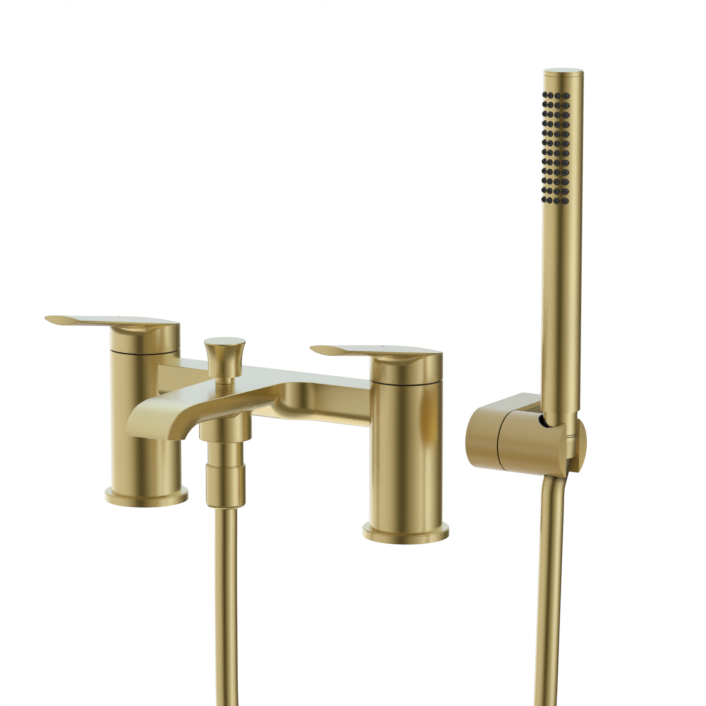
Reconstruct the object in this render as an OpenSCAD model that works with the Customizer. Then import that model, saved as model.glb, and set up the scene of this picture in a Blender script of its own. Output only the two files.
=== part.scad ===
// Deck-mounted bath shower mixer with pull-up diverter, hose, pencil handset and wall bracket.
// Origin: deck surface, midway between the two pillars. +X to the cold side, -Y to the user, +Z up.

/* [Pillars] */
// Distance between the two pillar axes
pillar_pitch = 180; // [172:1:190]
// Diameter of each pillar and of the lever head above it
pillar_d = 42; // [41:0.5:46]
// Height of the pillar top above the deck
pillar_top = 91; // [90.5:0.5:93]
// Diameter of the base flange
flange_d = 50; // [49:0.5:56]
// Thickness of the base flange
flange_h = 5; // [4.5:0.25:7]
// Bore of the inlet thread in the foot of each pillar
inlet_d = 24.12; // [23:0.01:25]
// Depth of the inlet bore
inlet_depth = 22; // [15:0.5:30]

/* [Bridge] */
// Front-to-back depth of the bridge bar
bridge_depth = 24; // [22:0.5:26]
// Height of the flat top of the bridge above the deck
bridge_top = 85.4; // [85:0.1:86]
// Height of the underside of the bridge above the deck
bridge_bottom = 61; // [59:0.5:62]
// Radius of the two lower edges of the bridge
bridge_round = 10; // [8:0.5:11]
// Bore of the water way along the bridge
bridge_bore = 11; // [8:0.5:12]

/* [Spout] */
// Reach of the spout lip in front of the pillar axes
spout_reach = 132.5; // [125:0.5:145]
// Width of the spout where the flare ends
spout_root_w = 39.4; // [38:0.2:44]
// Width of the spout at its lip
spout_tip_w = 28.7; // [27:0.1:34]
// Thickness of the spout between the flare and the bend
spout_thick = 13.4; // [12.6:0.1:14.4]
// Rise of the flat top from the bridge to the bend
spout_rise = 1.7; // [0.5:0.1:2.5]
// Radius of the outer bend at the lip
spout_bend_r = 23.2; // [21:0.2:25]
// Angle that the outer bend turns through
spout_bend_angle = 72; // [68:1:76]
// Plan radius of the flare between spout and bridge
flare_r = 16.5; // [14:0.5:20]
// Width that the rounded side takes from the underside
side_round = 5; // [4:0.5:7]
// Width that the rounded side takes from the lip
lip_round = 2.2; // [1.5:0.1:3]
// Height of the water way in the spout
channel_h = 4.6; // [4:0.2:5]
// Width of the water way in the spout
channel_w = 18; // [12:0.5:19]
// Length of the flow straightener in the outlet
straightener_h = 6; // [4:0.5:7]

/* [Diverter] */
// Distance of the diverter axis in front of the pillar axes
diverter_y = 51; // [49:0.5:54]
// Diameter of the outlet skirt under the spout
skirt_d = 30.3; // [29:0.1:31]
// Height of the skirt's lower face above the deck
skirt_bottom = 56; // [55:0.5:57.5]
// Bore of the valve chamber in the skirt
chamber_d = 21; // [20:0.5:22]
// Lift of the knob when it is pulled up
diverter_lift = 7.5; // [6:0.5:8]
// Diameter of the rod that joins knob and valve disc
rod_d = 6; // [5:0.5:7]
// Diameter of the knob's flat top
knob_top_d = 24; // [22:0.5:27]
// Diameter of the knob's waist
knob_d = 19.5; // [18:0.5:21]
// Height of the knob
knob_h = 19.8; // [18:0.2:24]
// Diameter of the bush and of the knob's sleeve
bush_d = 11.3; // [10.5:0.1:13]
// Height of the fixed bush top above the deck
bush_top = 88.2; // [88:0.1:89]
// Length of the knob's sleeve between bush and knob
sleeve_h = 4.4; // [3:0.2:6]

/* [Hose connection] */
// Diameter of the nipple under the skirt
nipple_d = 20.6; // [19.5:0.1:21.5]
// Height of the hose nut's top face above the deck
nut_top = 41; // [40:0.5:44]
// Height of the hose nut's lower face above the deck
nut_bottom = 16; // [15:0.5:18]
// Diameter of the hose nut
nut_d = 23; // [22.5:0.1:25]
// Outer diameter of the hose
hose_d = 13.2; // [12.6:0.1:13.6]
// Bore of the water way through nipple and ferrules
hose_bore = 8; // [6:0.5:8.5]

/* [Lever] */
// Width of the seam between pillar and lever head
seam_gap = 0.8; // [0.5:0.1:1.2]
// Height of the lever head at its side edge above the seam
lever_head_h = 16.7; // [15.5:0.1:18]
// Reach of the lever tip from the pillar axis
lever_reach = 85.5; // [75:0.5:95]
// Rise of the blade edge from the head to the tip
lever_rise = 14; // [10:0.5:18]
// Width of the blade at its tip
lever_tip_w = 25; // [22:0.5:30]
// Thickness of the blade's edge
lever_edge = 1.4; // [1:0.1:2]
// Crown of the lever top over the head
lever_crown = 1.5; // [0.8:0.1:2.4]
// Crown of the lever top at the tip
tip_crown = 1.6; // [1:0.1:2.4]
// Depth of the rounded underside at the tip
tip_belly = 2.6; // [1.5:0.1:3.5]
// Distance of the index dot in front of the pillar axis
index_y = 27; // [24:0.5:34]
// Diameter of the index dot
index_d = 2; // [1.5:0.1:3]
// Wall of the hollow lever head
lever_wall = 3.5; // [3:0.25:4.5]

/* [Cartridge] */
// Bore of the cartridge seat in the pillar
cartridge_d = 25; // [24:0.5:26]
// Diameter of the spindle
spindle_d = 8; // [7:0.5:9]
// Diameter of the ceramic discs
disc_d = 14.6; // [13:0.2:16]
// Thickness of each ceramic disc
disc_h = 3; // [2.5:0.25:3.5]

/* [Handset] */
// Distance of the handset axis to the cold side of the origin
handset_x = 194; // [192:0.5:196]
// Distance of the handset axis in front of the pillar axes
handset_y = 8; // [6:0.5:10]
// Diameter of the handset tube
handset_d = 22.2; // [21.5:0.1:24]
// Wall of the handset tube
handset_wall = 1.2; // [1:0.1:1.5]
// Height of the tube's lower end above the deck
handset_bottom = 86; // [85.5:0.5:88]
// Height of the handset's top above the deck
handset_top = 275; // [265:1:290]
// Thickness of the end cap
cap_h = 2.4; // [2:0.1:4]
// Diameter of the handset's neck
neck_d = 19.15; // [18.9:0.05:19.4]
// Number of nozzle rows
nozzle_rows = 12; // [8:1:14]
// Number of nozzles in a row
nozzle_columns = 4; // [2:1:4]
// Distance between nozzle rows
nozzle_pitch = 5.25; // [4.6:0.05:5.6]
// Distance between nozzle columns
nozzle_spacing = 4.2; // [3.9:0.1:4.4]
// Diameter of a nozzle
nozzle_d = 3.2; // [2.4:0.1:3.4]
// Distance of the first nozzle row below the handset's top
nozzle_start = 13; // [11:0.5:18]

/* [Bracket] */
// Diameter of the swivelling holder
holder_d = 34.5; // [33.5:0.5:36]
// Height of the holder's axis above the deck
holder_z = 64.6; // [64.4:0.1:65]
// Length of the bracket's fixed part along the holder's axis
cover_l = 20.2; // [18:0.2:24]
// Length of the swivelling holder
holder_l = 38.7; // [36:0.1:44]
// Distance from the handset's axis to the free end of the holder
socket_end = 8.1; // [7.5:0.1:9]
// Distance of the wall behind the pillar axes
wall_y = 41; // [38:0.5:50]
// Wall of the bracket cover
cover_wall = 2.5; // [2:0.1:3]
// Width of the hose slot in the holder
slot_w = 15.5; // [14.5:0.1:16]
// Diameter of the wall screw holes
wall_hole_d = 4.5; // [4:0.1:5.5]
// Distance between the two wall screw holes
wall_hole_pitch = 19; // [18:0.5:20]
// Diameter of the pivot bolt
pivot_d = 8; // [7:0.5:9]
// Height of the cone nut's lower face above the deck
cone_bottom = 59.6; // [59:0.1:60]
// Height of the cone nut's top face above the deck
cone_top = 69.6; // [69.4:0.1:70]
// Diameter of the cone nut's lower face
cone_d = 17.3; // [16.8:0.1:17.6]

/* [Hose coil] */
// Mean diameter of the coil's turns
coil_d = 132; // [128:1:158]
// Turns of the coil
coil_turns = 2.5; // [1.5:1:3.5]
// Gap between neighbouring turns
coil_gap = 0.7; // [0.6:0.1:1.5]
// Thickness of the tie strap
tie_h = 1.6; // [1:0.1:2]
// Width of the tie strap
tie_w = 12; // [8:1:16]

/* [Hidden] */
$fn = 64;

// Radial clearance of pieces that stand still against each other
fixed_gap = 0.05;
// Radial clearance of shafts that turn or slide
running_gap = 0.05;
// Gap between faces that pass each other
face_gap = 0.3;
// Overshoot of a cut past the face that it opens
cut = 1;
// Small rounding of visible rims
rim = 0.6;

brass = [0.75, 0.66, 0.42];
dark_brass = [0.55, 0.47, 0.28];
rubber = [0.12, 0.12, 0.13];
ceramic = [0.9, 0.9, 0.88];
plastic = [0.2, 0.2, 0.21];

hot_x = -pillar_pitch / 2;
cold_x = pillar_pitch / 2;
pillar_r = pillar_d / 2;

// Levels inside each pillar
seat_web = 3;
seat_drop = 3;
seat_top = bridge_bottom - seat_drop;
seal_h = 2;
seal_w = 2.5;
fixed_disc_z = seat_top + seal_h;
turning_disc_z = fixed_disc_z + disc_h + fixed_gap;
spindle_head_z = turning_disc_z + disc_h + fixed_gap;
spindle_head_h = 5;
spindle_head_d = disc_d - 0.6;
bridge_mid = (bridge_top + bridge_bottom) / 2;
water_gap = 2.5;
sleeve_d = cartridge_d - 2 * water_gap;
gland_depth = 4;
gland_bottom = bridge_top - gland_depth;
gland_recess = 1.5;
gland_top = pillar_top - gland_recess;
gland_neck_h = 5;
neck_top = pillar_top + gland_neck_h;
lever_bottom = pillar_top + seam_gap;
lever_edge_z = lever_bottom + lever_head_h;
hub_wall = 4;
hub_d = spindle_d + 2 * hub_wall;
hub_gap = 1;
hub_bottom = neck_top + hub_gap;
hub_cover = 6.5;
hub_seat = lever_edge_z - hub_cover;
hub_socket_h = 4;
hub_top = hub_seat + hub_socket_h;
spindle_top = hub_top - hub_gap;
grub_lift = 3;
grub_z = hub_bottom + grub_lift;
inlet_shoulder = 2;
spigot_step = 3;
spigot_d = pillar_d - 2 * spigot_step;
slip_h = 2.4;
slip_bottom = pillar_top + seam_gap / 2 - slip_h;
slip_edge = 1.2;
slip_w = 3.3;
slip_out = pillar_d - 2 * slip_edge;
slip_in = slip_out - 2 * slip_w;
gasket_h = 1.5;
gasket_edge = 2;
gasket_out = flange_d - 2 * gasket_edge;
gasket_in = spigot_d + 2 * gasket_h;

// Levels inside the diverter
seat_lip = 2.5;
chamber_bottom = skirt_bottom + seat_lip;
chamber_h = 12.7;
upper_seat = chamber_bottom + chamber_h;
upper_seat_h = 2.4;
plug_depth = 4.4;
plug_top = bridge_top - plug_depth;
port_gap = 3.5;
port_d = rod_d + 2 * port_gap;
seals_h = 0.9;
disc_bottom = chamber_bottom + face_gap + seals_h;
valve_disc_h = chamber_h - diverter_lift - 2 * face_gap - 2 * seals_h;
valve_gap = 1.2;
valve_disc_d = chamber_d - 2 * valve_gap;
seals_d = valve_disc_d - 2 * seals_h;
sleeve_bottom = bush_top + face_gap;
knob_bottom = sleeve_bottom + sleeve_h;
rod_top = knob_bottom + knob_h / 2;
feed_lift = 7;
feed_z = bridge_bottom + feed_lift;
feed_out = 6.6;
feed_bore = 4;

// Levels of the hose connection
nut_wall = 1.6;
nipple_thread_d = nut_d - 2 * nut_wall;
washer_h = 2;
washer_gap = 0.2;
thread_l = 11;
thread_bottom = nut_top - thread_l;
ferrule_rim = 2;
ferrule_d = hose_d + 2 * ferrule_rim;
nut_shoulder = thread_bottom - washer_h - ferrule_rim;
hose_hole_d = hose_d + 2 * face_gap;
ferrule_inset = 3;
ferrule_bottom = nut_bottom + ferrule_inset;

// Side profile of the spout
spout_start = -bridge_depth / 2;
flare_end = spout_start - flare_r;
bend_y = -(spout_reach - spout_bend_r * sin(spout_bend_angle));
bend_z = bridge_top + spout_rise - spout_bend_r;
inner_r = 28.5;
inner_shift = 17.4;
inner_y = bend_y + inner_shift;
inner_angle = 39;
root_thick = bridge_top - bridge_bottom;
root_flat = 1 - bridge_round / root_thick;
root_half = spout_root_w / 2 + flare_r - bridge_round;
side_flat = 0.15;
channel_roof = 1;
channel_top = plug_top + channel_roof;

// Spout sections: [top y, top z, underside y, underside z, half width, side rounding, flat share of the side]
function top_z(y) = bridge_top + spout_rise * (spout_start - y) / (spout_start - bend_y);
function half_w(y) = (spout_root_w - (spout_root_w - spout_tip_w)
    * (flare_end - y) / (flare_end + spout_reach)) / 2;
function ease(t) = t * t * (3 - 2 * t);
// Change from the root of the flare to its end
function flared(y, root, end) = end + (root - end) * (1 - ease(pow((spout_start - y) / flare_r, 2)));
flare_steps = 9;
straight_steps = 5;
bend_steps = 10;
flare_sections = [
    for (i = [0:flare_steps])
        let (b = 90 * i / flare_steps, y = flare_end + flare_r * cos(b)) [
            y, top_z(y), y, top_z(y) - flared(y, root_thick, spout_thick),
            spout_root_w / 2 + flare_r * (1 - sin(b)),
            flared(y, bridge_round, side_round), flared(y, root_flat, side_flat)
        ]
];
straight_sections = [
    for (i = [1:straight_steps])
        let (
            y = flare_end + (bend_y - flare_end) * i / (straight_steps + 1),
            u = flare_end + (inner_y - flare_end) * i / (straight_steps + 1)
        ) [y, top_z(y), u, top_z(y) - spout_thick, half_w(y), side_round, side_flat]
];
bend_sections = [
    for (i = [0:bend_steps])
        let (
            t = i / bend_steps,
            o = spout_bend_angle * t,
            n = inner_angle * t,
            y = bend_y - spout_bend_r * sin(o)
        ) [
            y, bend_z + spout_bend_r * cos(o),
            inner_y - inner_r * sin(n),
            top_z(bend_y) - spout_thick - inner_r * (1 - cos(n)),
            half_w(y), side_round + (lip_round - side_round) * t, side_flat
        ]
];
spout_sections = concat(flare_sections, straight_sections, bend_sections);
side_steps = 8;
// One section as points: flat top, two sides that are flat above and rounded below, and a flat underside
function section_points(s) = [
    for (side = [1, -1], k = [0:side_steps + 1])
        let (
            step = side > 0 ? k : side_steps + 1 - k,
            a = 90 * max(0, step - 1) / side_steps,
            x = side * (s[4] - s[5] * (1 - cos(a))),
            q = step == 0 ? 0 : s[6] + (1 - s[6]) * sin(a)
        ) [x, s[0] + (s[2] - s[0]) * q, s[1] + (s[3] - s[1]) * q]
];
// Outlet face at the lip
lip_section = bend_sections[bend_steps];
outlet_tilt = atan2(lip_section[1] - lip_section[3], lip_section[2] - lip_section[0]);
outlet_y = (lip_section[0] + lip_section[2]) / 2;
outlet_z = (lip_section[1] + lip_section[3]) / 2;
outlet_margin = 0.5;
outlet_w = channel_w - 2 * outlet_margin;
outlet_len = 8;

// Lever surface: half width, edge height, crown and belly along the lever
function lever_half(y) = pillar_r + (lever_tip_w / 2 - pillar_r) * ease(min(1, max(0, -y / lever_reach)));
function lever_z(y) = lever_edge_z - lever_rise * y / lever_reach;
function along(y, head, tip) = head + (tip - head) * max(0, -y / lever_reach);
function bulge(x, y) = y > 0 ? 1 - (x * x + y * y) / (pillar_r * pillar_r) : 1 - pow(x / lever_half(y), 2);
function lever_top(x, y) = lever_z(y) + along(y, lever_crown, tip_crown) * bulge(x, y);
function lever_under(x, y) = lever_z(y) - lever_edge - tip_belly * bulge(x, y);
// Plan outline of the lever: rounded tip, two tapered sides and the round back of the head
tip_steps = 8;
taper_steps = 12;
back_steps = 18;
tip_round = 1.5;
lever_side = [
    for (i = [0:taper_steps - 1])
        let (y = -lever_reach + tip_round + (lever_reach - tip_round) * i / taper_steps) [lever_half(y), y]
];
lever_outline = concat(
    [
        for (i = [1:tip_steps - 1])
            let (u = -1 + 2 * i / tip_steps) [u * lever_tip_w / 2, -lever_reach + tip_round * u * u]
    ],
    lever_side,
    [for (i = [0:back_steps]) let (a = 180 * i / back_steps) pillar_r * [cos(a), sin(a)]],
    [for (i = [taper_steps - 1:-1:0]) [-lever_side[i][0], lever_side[i][1]]]
);
lever_fillet = 6;
lip = 0.05;
// Concave corner from the head's wall to the blade's underside, as far as the blade leaves room for it
function fillet_r(p) = min(lever_fillet, max(0, norm(p) - pillar_r) / 2);
function fillet_point(p, a) = let (
    d = p / norm(p),
    r = fillet_r(p),
    q = d * (pillar_r + lip * sin(a) + r * (1 - cos(a)))
) [q[0], q[1], lever_under(q[0], q[1]) - r * (1 - sin(a))];
function under_point(p, t) = let (
    d = p / norm(p),
    from = pillar_r + lip + fillet_r(p),
    q = d * (from + (max(norm(p), from + lip) - from) * t)
) [q[0], q[1], lever_under(q[0], q[1])];
lever_sections = concat(
    [[for (p = lever_outline) let (q = pillar_r * p / norm(p)) [q[0], q[1], lever_bottom]]],
    [for (a = [0:22.5:90]) [for (p = lever_outline) fillet_point(p, a)]],
    [for (t = [0.25:0.25:1]) [for (p = lever_outline) under_point(p, t)]],
    [
        for (t = [1, 0.92, 0.75, 0.5, 0.25, 0.06])
            [for (p = lever_outline) let (q = p * t) [q[0], q[1], lever_top(q[0], q[1])]]
    ]
);

index_z = lever_top(0, -index_y);
index_depth = 1.2;

// Handset levels
nozzle_top = handset_top - nozzle_start;
tube_bore = handset_d - 2 * handset_wall;
plug_d = tube_bore - 2 * fixed_gap;
strip_h = 1.3;
carrier_d = tube_bore - 2 * strip_h;
carrier_wall = 1.2;
strip_margin = 3;
cap_plug_h = nozzle_start - cap_h - strip_margin - face_gap;
carrier_top = handset_top - cap_h - cap_plug_h;
strip_in = carrier_d + 2 * fixed_gap;
nozzle_proud = 0.8;
nozzle_play = 0.25;
nozzle_hole_d = 1;
neck_spigot_h = 10;
cap_groove = 0.4;
neck_line_lift = 3.3;
neck_line_top = cone_top + neck_line_lift;
neck_line_h = 0.45;
neck_line_pitch = 1.1;
neck_line_depth = 0.9;
cone_wall = 2.3;
spigot_thread_d = cone_d - 2 * cone_wall;
cone_slope = 0.09;
socket_gap = 0.25;
socket_play = 0.5;
socket_shift = [-1.2, -1.5, 0];
socket_lead = 2;
inlet_washer_h = 0.8;
end_ring_h = 1.2;
ferrule_top = cone_bottom + 9;
hose_room = 0.25;
hose_shift = [-2.5, -1.5, 0];

// Bracket levels
holder_r = holder_d / 2;
holder_end = handset_x + socket_end;
bracket_seam = holder_end - holder_l;
bracket_left = bracket_seam - cover_l;
bracket_mid = (bracket_left + bracket_seam) / 2;
holder_seam = 0.9;
seam_depth = 2;
holder_x = bracket_seam + holder_seam;
pivot_stop = 12;
pivot_end = handset_x - pivot_stop;
pivot_head_d = 1.6 * pivot_d;
pivot_head_h = pivot_d / 2;
core_left = bracket_left + cover_wall + fixed_gap;
screw_d = 4;
core_front = 8;
screw_grip = 2;
screw_inset = 0.5;
screw_shift = 1;

// Hose route: points chosen by hand, from the nuts down to the coil
mixer_route = [
    [0, -51, 19], [0, -51, 9], [-0.2, -51, -8], [-0.35, -51, -28], [-0.35, -51, -52], [-0.2, -51.1, -78],
    [0.3, -51.2, -104], [2.9, -52, -122.4], [10.9, -54.2, -140.8], [22.8, -57.6, -159.2],
    [30.8, -59.9, -177.6]
];
handset_route = [
    [159, -2.1, -174], [166.5, -4.4, -152], [177.8, -7.9, -130], [185.4, -10.3, -108], [187.7, -10.9, -86],
    [188.9, -11, -52], [189.7, -10.9, -22], [190.5, -10.7, 4], [191.1, -10.5, 22], [191.5, -10.2, 34],
    [191.8, -9.93, 41], [192.75, -9.1, 48], [193.69, -8.28, 55], [194, -8, 62], [194, -8, 67.3]
];
coil_centre = [95, -31, -196];
// Direction of the coil's plane, seen from above
coil_yaw = 11;
coil_pitch = hose_d + coil_gap;
coil_shift = coil_pitch * coil_turns;
coil_turn_steps = 24;
coil_steps = coil_turn_steps * coil_turns;
coil_sides = 6;
hose_sides = 10;
function coil_point(i) = let (a = 180 + 360 * i / coil_turn_steps, s = coil_pitch * i / coil_turn_steps)
    coil_centre + [
        coil_d / 2 * cos(a) * cos(coil_yaw) - (s - coil_shift / 2) * sin(coil_yaw),
        coil_d / 2 * cos(a) * sin(coil_yaw) + (s - coil_shift / 2) * cos(coil_yaw),
        coil_d / 2 * sin(a)
    ];
coil_points = [for (i = [0:coil_steps]) coil_point(i)];
hose_path = concat(mixer_route, coil_points, handset_route);
coil_first = len(mixer_route);
coil_last = coil_first + coil_steps;
// Strap round the turns that pass the lowest point
tie_gap = 0.8;
tie_bore = hose_d + 2 * tie_gap;
tie_half = (ceil(coil_turns) - 1) * coil_pitch / 2 + face_gap;
coil_self_gap = min([
    for (i = [0:coil_steps], j = [i + 12:1:coil_steps]) norm(coil_points[i] - coil_points[j]) - hose_d
]);
echo(coil_self_gap = coil_self_gap);
hose_steps = [for (i = [1:len(hose_path) - 1]) norm(hose_path[i] - hose_path[i - 1])];
echo(hose_length = hose_steps * [for (step = hose_steps) 1]);

// Ring solid between two diameters
module ring(outer, inner, low, high) {
    translate([0, 0, low]) difference() {
        cylinder(d = outer, h = high - low);
        translate([0, 0, -cut]) cylinder(d = inner, h = high - low + 2 * cut);
    }
}

// Upright cylinder between two levels
module post(d, low, high) {
    translate([0, 0, low]) cylinder(d = d, h = high - low);
}

// Closed skin over a list of sections with the same number of points
module loft(sections) {
    n = len(sections[0]);
    last = len(sections) - 1;
    points = [for (s = sections, p = s) p];
    walls = [
        for (i = [0:last - 1], k = [0:n - 1], h = [0, 1])
            let (a = i * n + k, b = i * n + (k + 1) % n)
                h == 0 ? [a, b, b + n] : [a, b + n, a + n]
    ];
    start = [for (k = [1:n - 2]) [0, k + 1, k]];
    end = [for (k = [1:n - 2]) [last * n, last * n + k, last * n + k + 1]];
    polyhedron(points, concat(start, walls, end), convexity = 6);
}

function unit(v) = v / norm(v);
function tangent(p, i) = unit(p[min(i + 1, len(p) - 1)] - p[max(i - 1, 0)]);
// Ring of points round a path point, square to the path
function tube_ring(p, i, r, sides, side_way) = let (
    t = tangent(p, i),
    u = unit(cross(t, side_way)),
    v = cross(t, u)
) [for (k = [0:sides - 1]) p[i] + r * (cos(360 * k / sides) * u + sin(360 * k / sides) * v)];

// Stretch of the hose between two points of its path
module hose(first, last, sides, side_way) {
    loft([for (i = [first:last]) tube_ring(hose_path, i, hose_d / 2, sides, side_way)]);
}

module at_hot() {
    translate([hot_x, 0, 0]) children();
}

module at_cold() {
    translate([cold_x, 0, 0]) children();
}

module at_diverter() {
    translate([0, -diverter_y, 0]) children();
}

module at_handset() {
    translate([handset_x, -handset_y, 0]) children();
}

// Frame of the holder's axis: local Z runs along +X, from the bracket to the free end
module along_holder() {
    translate([0, -handset_y, holder_z]) rotate([90, 0, 90]) children();
}

module bridge_profile() {
    half = bridge_depth / 2;
    h = bridge_top - bridge_bottom;
    translate([-half, bridge_round]) square([bridge_depth, h - bridge_round]);
    translate([-half + bridge_round, 0]) square([bridge_depth - 2 * bridge_round, bridge_round]);
    for (s = [-1, 1])
        translate([s * (half - bridge_round), bridge_round]) circle(r = bridge_round);
}

module bridge() {
    color(brass) difference() {
        union() {
            translate([hot_x, 0, bridge_bottom]) rotate([90, 0, 90])
                linear_extrude(pillar_pitch) bridge_profile();
            translate([-root_half, spout_start, bridge_bottom])
                cube([2 * root_half, bridge_round, bridge_round]);
            translate([0, 0, feed_z]) rotate([90, 0, 0]) cylinder(r = feed_out, h = diverter_y);
        }
        for (x = [hot_x, cold_x])
            translate([x, 0, 0]) post(pillar_d + 2 * fixed_gap, 0, pillar_top);
        translate([hot_x, 0, bridge_mid]) rotate([0, 90, 0]) cylinder(d = bridge_bore, h = pillar_pitch);
        translate([0, 0, feed_z]) rotate([90, 0, 0]) cylinder(r = feed_bore, h = diverter_y);
        at_diverter() post(skirt_d + 2 * fixed_gap, 0, pillar_top);
    }
}

module spout() {
    color(brass) difference() {
        loft([for (s = spout_sections) section_points(s)]);
        at_diverter() post(skirt_d + 2 * fixed_gap, 0, plug_top + fixed_gap);
        at_diverter() post(bush_d + 2 * fixed_gap, plug_top - cut, pillar_top + cut);
        translate([-channel_w / 2, outlet_y, channel_top - channel_h])
            cube([channel_w, -outlet_y - diverter_y, channel_h]);
        outlet_cut(outlet_w, outlet_len, channel_top - channel_h / 2 - outlet_z);
        translate([0, 0, feed_z]) rotate([90, 0, 0]) cylinder(r = feed_out + fixed_gap, h = diverter_y);
    }
}

// Straight way down through the lip of the spout, square to the outlet face
module outlet_cut(w, l, h) {
    translate([0, outlet_y, outlet_z]) rotate([-outlet_tilt, 0, 0])
        translate([-w / 2, -l / 2, -cut]) cube([w, l, h + cut]);
}

module flow_straightener() {
    wall = 1;
    bars = 5;
    w = outlet_w - 2 * fixed_gap;
    l = outlet_len - 2 * fixed_gap;
    color(plastic) translate([0, outlet_y, outlet_z]) rotate([-outlet_tilt, 0, 0])
        translate([-w / 2, -l / 2, 0.6]) difference() {
            cube([w, l, straightener_h]);
            for (i = [0:bars - 1])
                translate([wall + i * (w - wall) / bars, wall, -cut])
                    cube([(w - wall) / bars - wall, l - 2 * wall, straightener_h + 2 * cut]);
        }
}

module diverter_body() {
    color(brass) at_diverter() difference() {
        union() {
            post(skirt_d, skirt_bottom + rim, plug_top);
            post(skirt_d - 2 * rim, skirt_bottom, plug_top);
        }
        post(chamber_d, chamber_bottom, upper_seat);
        post(port_d, skirt_bottom - cut, plug_top + cut);
        post(chamber_d, upper_seat + upper_seat_h, plug_top + cut);
        translate([0, 0, feed_z]) rotate([-90, 0, 0]) cylinder(r = feed_bore, h = skirt_d);
        translate([-channel_w / 2, -skirt_d, channel_top - channel_h]) cube([channel_w, skirt_d, channel_h]);
    }
}

module diverter_bush() {
    flange = 1.6;
    color(brass) at_diverter() difference() {
        union() {
            post(bush_d, plug_top, bush_top);
            post(bush_d + 4, plug_top - flange, plug_top);
        }
        post(rod_d + 2 * running_gap, 0, pillar_top + cut);
    }
}

module knob_profile() {
    flare_h = knob_h * 0.62;
    flare = (knob_top_d - knob_d) / 2;
    reach_r = (flare_h * flare_h + flare * flare) / (2 * flare);
    top = 0.7;
    difference() {
        square([knob_top_d / 2, knob_h]);
        translate([knob_d / 2 + reach_r, knob_h - top - flare_h])
            intersection() {
                circle(r = reach_r, $fn = 180);
                translate([-2 * reach_r, 0]) square([4 * reach_r, flare_h]);
            }
        translate([knob_d / 2, -cut]) square([knob_top_d, knob_h - top - flare_h + cut]);
    }
}

module diverter_knob() {
    color(brass) at_diverter() difference() {
        union() {
            translate([0, 0, knob_bottom]) rotate_extrude($fn = 96) knob_profile();
            post(bush_d, sleeve_bottom, knob_bottom + cut);
        }
        post(rod_d + 2 * fixed_gap, sleeve_bottom - cut, rod_top + fixed_gap);
    }
}

module diverter_rod() {
    color(dark_brass) at_diverter() post(rod_d, disc_bottom - seals_h, rod_top);
}

module diverter_disc() {
    color(dark_brass) at_diverter()
        ring(valve_disc_d, rod_d + 2 * fixed_gap, disc_bottom, disc_bottom + valve_disc_h);
}

module diverter_seals() {
    color(rubber) at_diverter() {
        ring(seals_d, rod_d + 2 * fixed_gap, disc_bottom - seals_h, disc_bottom);
        ring(
            seals_d, rod_d + 2 * fixed_gap,
            disc_bottom + valve_disc_h, disc_bottom + valve_disc_h + seals_h
        );
    }
}

module hose_nipple() {
    color(brass) at_diverter() difference() {
        union() {
            post(nipple_d, nut_top + face_gap, skirt_bottom);
            post(nipple_thread_d, thread_bottom, nut_top + cut);
            post(port_d - 2 * fixed_gap, skirt_bottom - cut, chamber_bottom);
        }
        post(hose_bore, 0, pillar_top);
    }
}

module nipple_washer() {
    color(rubber) at_diverter()
        ring(nipple_thread_d - 2 * washer_gap, hose_bore, thread_bottom - washer_h, thread_bottom);
}

module mixer_hose_nut() {
    edge = 2.5;
    color(brass) at_diverter() difference() {
        union() {
            post(nut_d, nut_bottom + edge, nut_top - rim);
            post(nut_d - 2 * rim, nut_bottom + edge, nut_top);
            translate([0, 0, nut_bottom + edge]) rotate_extrude() translate([nut_d / 2 - edge, 0])
                intersection() {
                    circle(r = edge);
                    translate([0, -edge]) square([edge, edge]);
                }
            post(nut_d - 2 * edge, nut_bottom, nut_top - rim);
        }
        post(nipple_thread_d + 2 * fixed_gap, nut_shoulder, nut_top + cut);
        post(hose_hole_d, nut_bottom - cut, nut_top);
    }
}

module mixer_ferrule() {
    color(dark_brass) at_diverter() difference() {
        union() {
            post(ferrule_d, nut_shoulder, nut_shoulder + ferrule_rim);
            post(hose_d, ferrule_bottom, nut_shoulder + cut);
        }
        post(hose_bore, 0, nut_top);
    }
}

module pillar(side) {
    color(brass) difference() {
        union() {
            post(pillar_d, flange_h, pillar_top);
            post(spigot_d, 0, flange_h + cut);
        }
        post(inlet_d, -cut, inlet_depth);
        post(inlet_d - 2 * inlet_shoulder, inlet_depth - cut, seat_top - seat_web);
        post(disc_d - 2 * seal_w, inlet_depth, seat_top + cut);
        post(cartridge_d, seat_top, pillar_top + cut);
        ring(slip_out + 2 * fixed_gap, slip_in - 2 * fixed_gap, slip_bottom, pillar_top + cut);
        translate([0, 0, bridge_mid]) rotate([0, side * 90, 0]) cylinder(d = bridge_bore, h = pillar_d);
    }
}

module flange() {
    color(brass) difference() {
        union() {
            post(flange_d, 0, flange_h - rim);
            post(flange_d - 2 * rim, 0, flange_h);
        }
        post(spigot_d + 2 * fixed_gap, -cut, flange_h + cut);
        ring(gasket_out, gasket_in, -cut, gasket_h);
    }
}

module gasket() {
    color(rubber) ring(gasket_out - 2 * fixed_gap, gasket_in + 2 * fixed_gap, 0, gasket_h);
}

module cartridge() {
    window_w = 8;
    window_h = 9;
    color(dark_brass) difference() {
        union() {
            post(sleeve_d, seat_top + fixed_gap, gland_bottom + cut);
            post(cartridge_d - 2 * fixed_gap, gland_bottom, gland_top);
            post(hub_d, gland_top - cut, neck_top);
        }
        post(disc_d + 2 * running_gap, 0, spindle_head_z + spindle_head_h + fixed_gap);
        post(spindle_d + 2 * running_gap, 0, pillar_top * 2);
        translate([-sleeve_d, -window_w / 2, bridge_mid - window_h / 2])
            cube([2 * sleeve_d, window_w, window_h]);
    }
}

module seat_seal() {
    color(rubber) ring(disc_d, disc_d - 2 * seal_w, seat_top, seat_top + seal_h);
}

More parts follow.
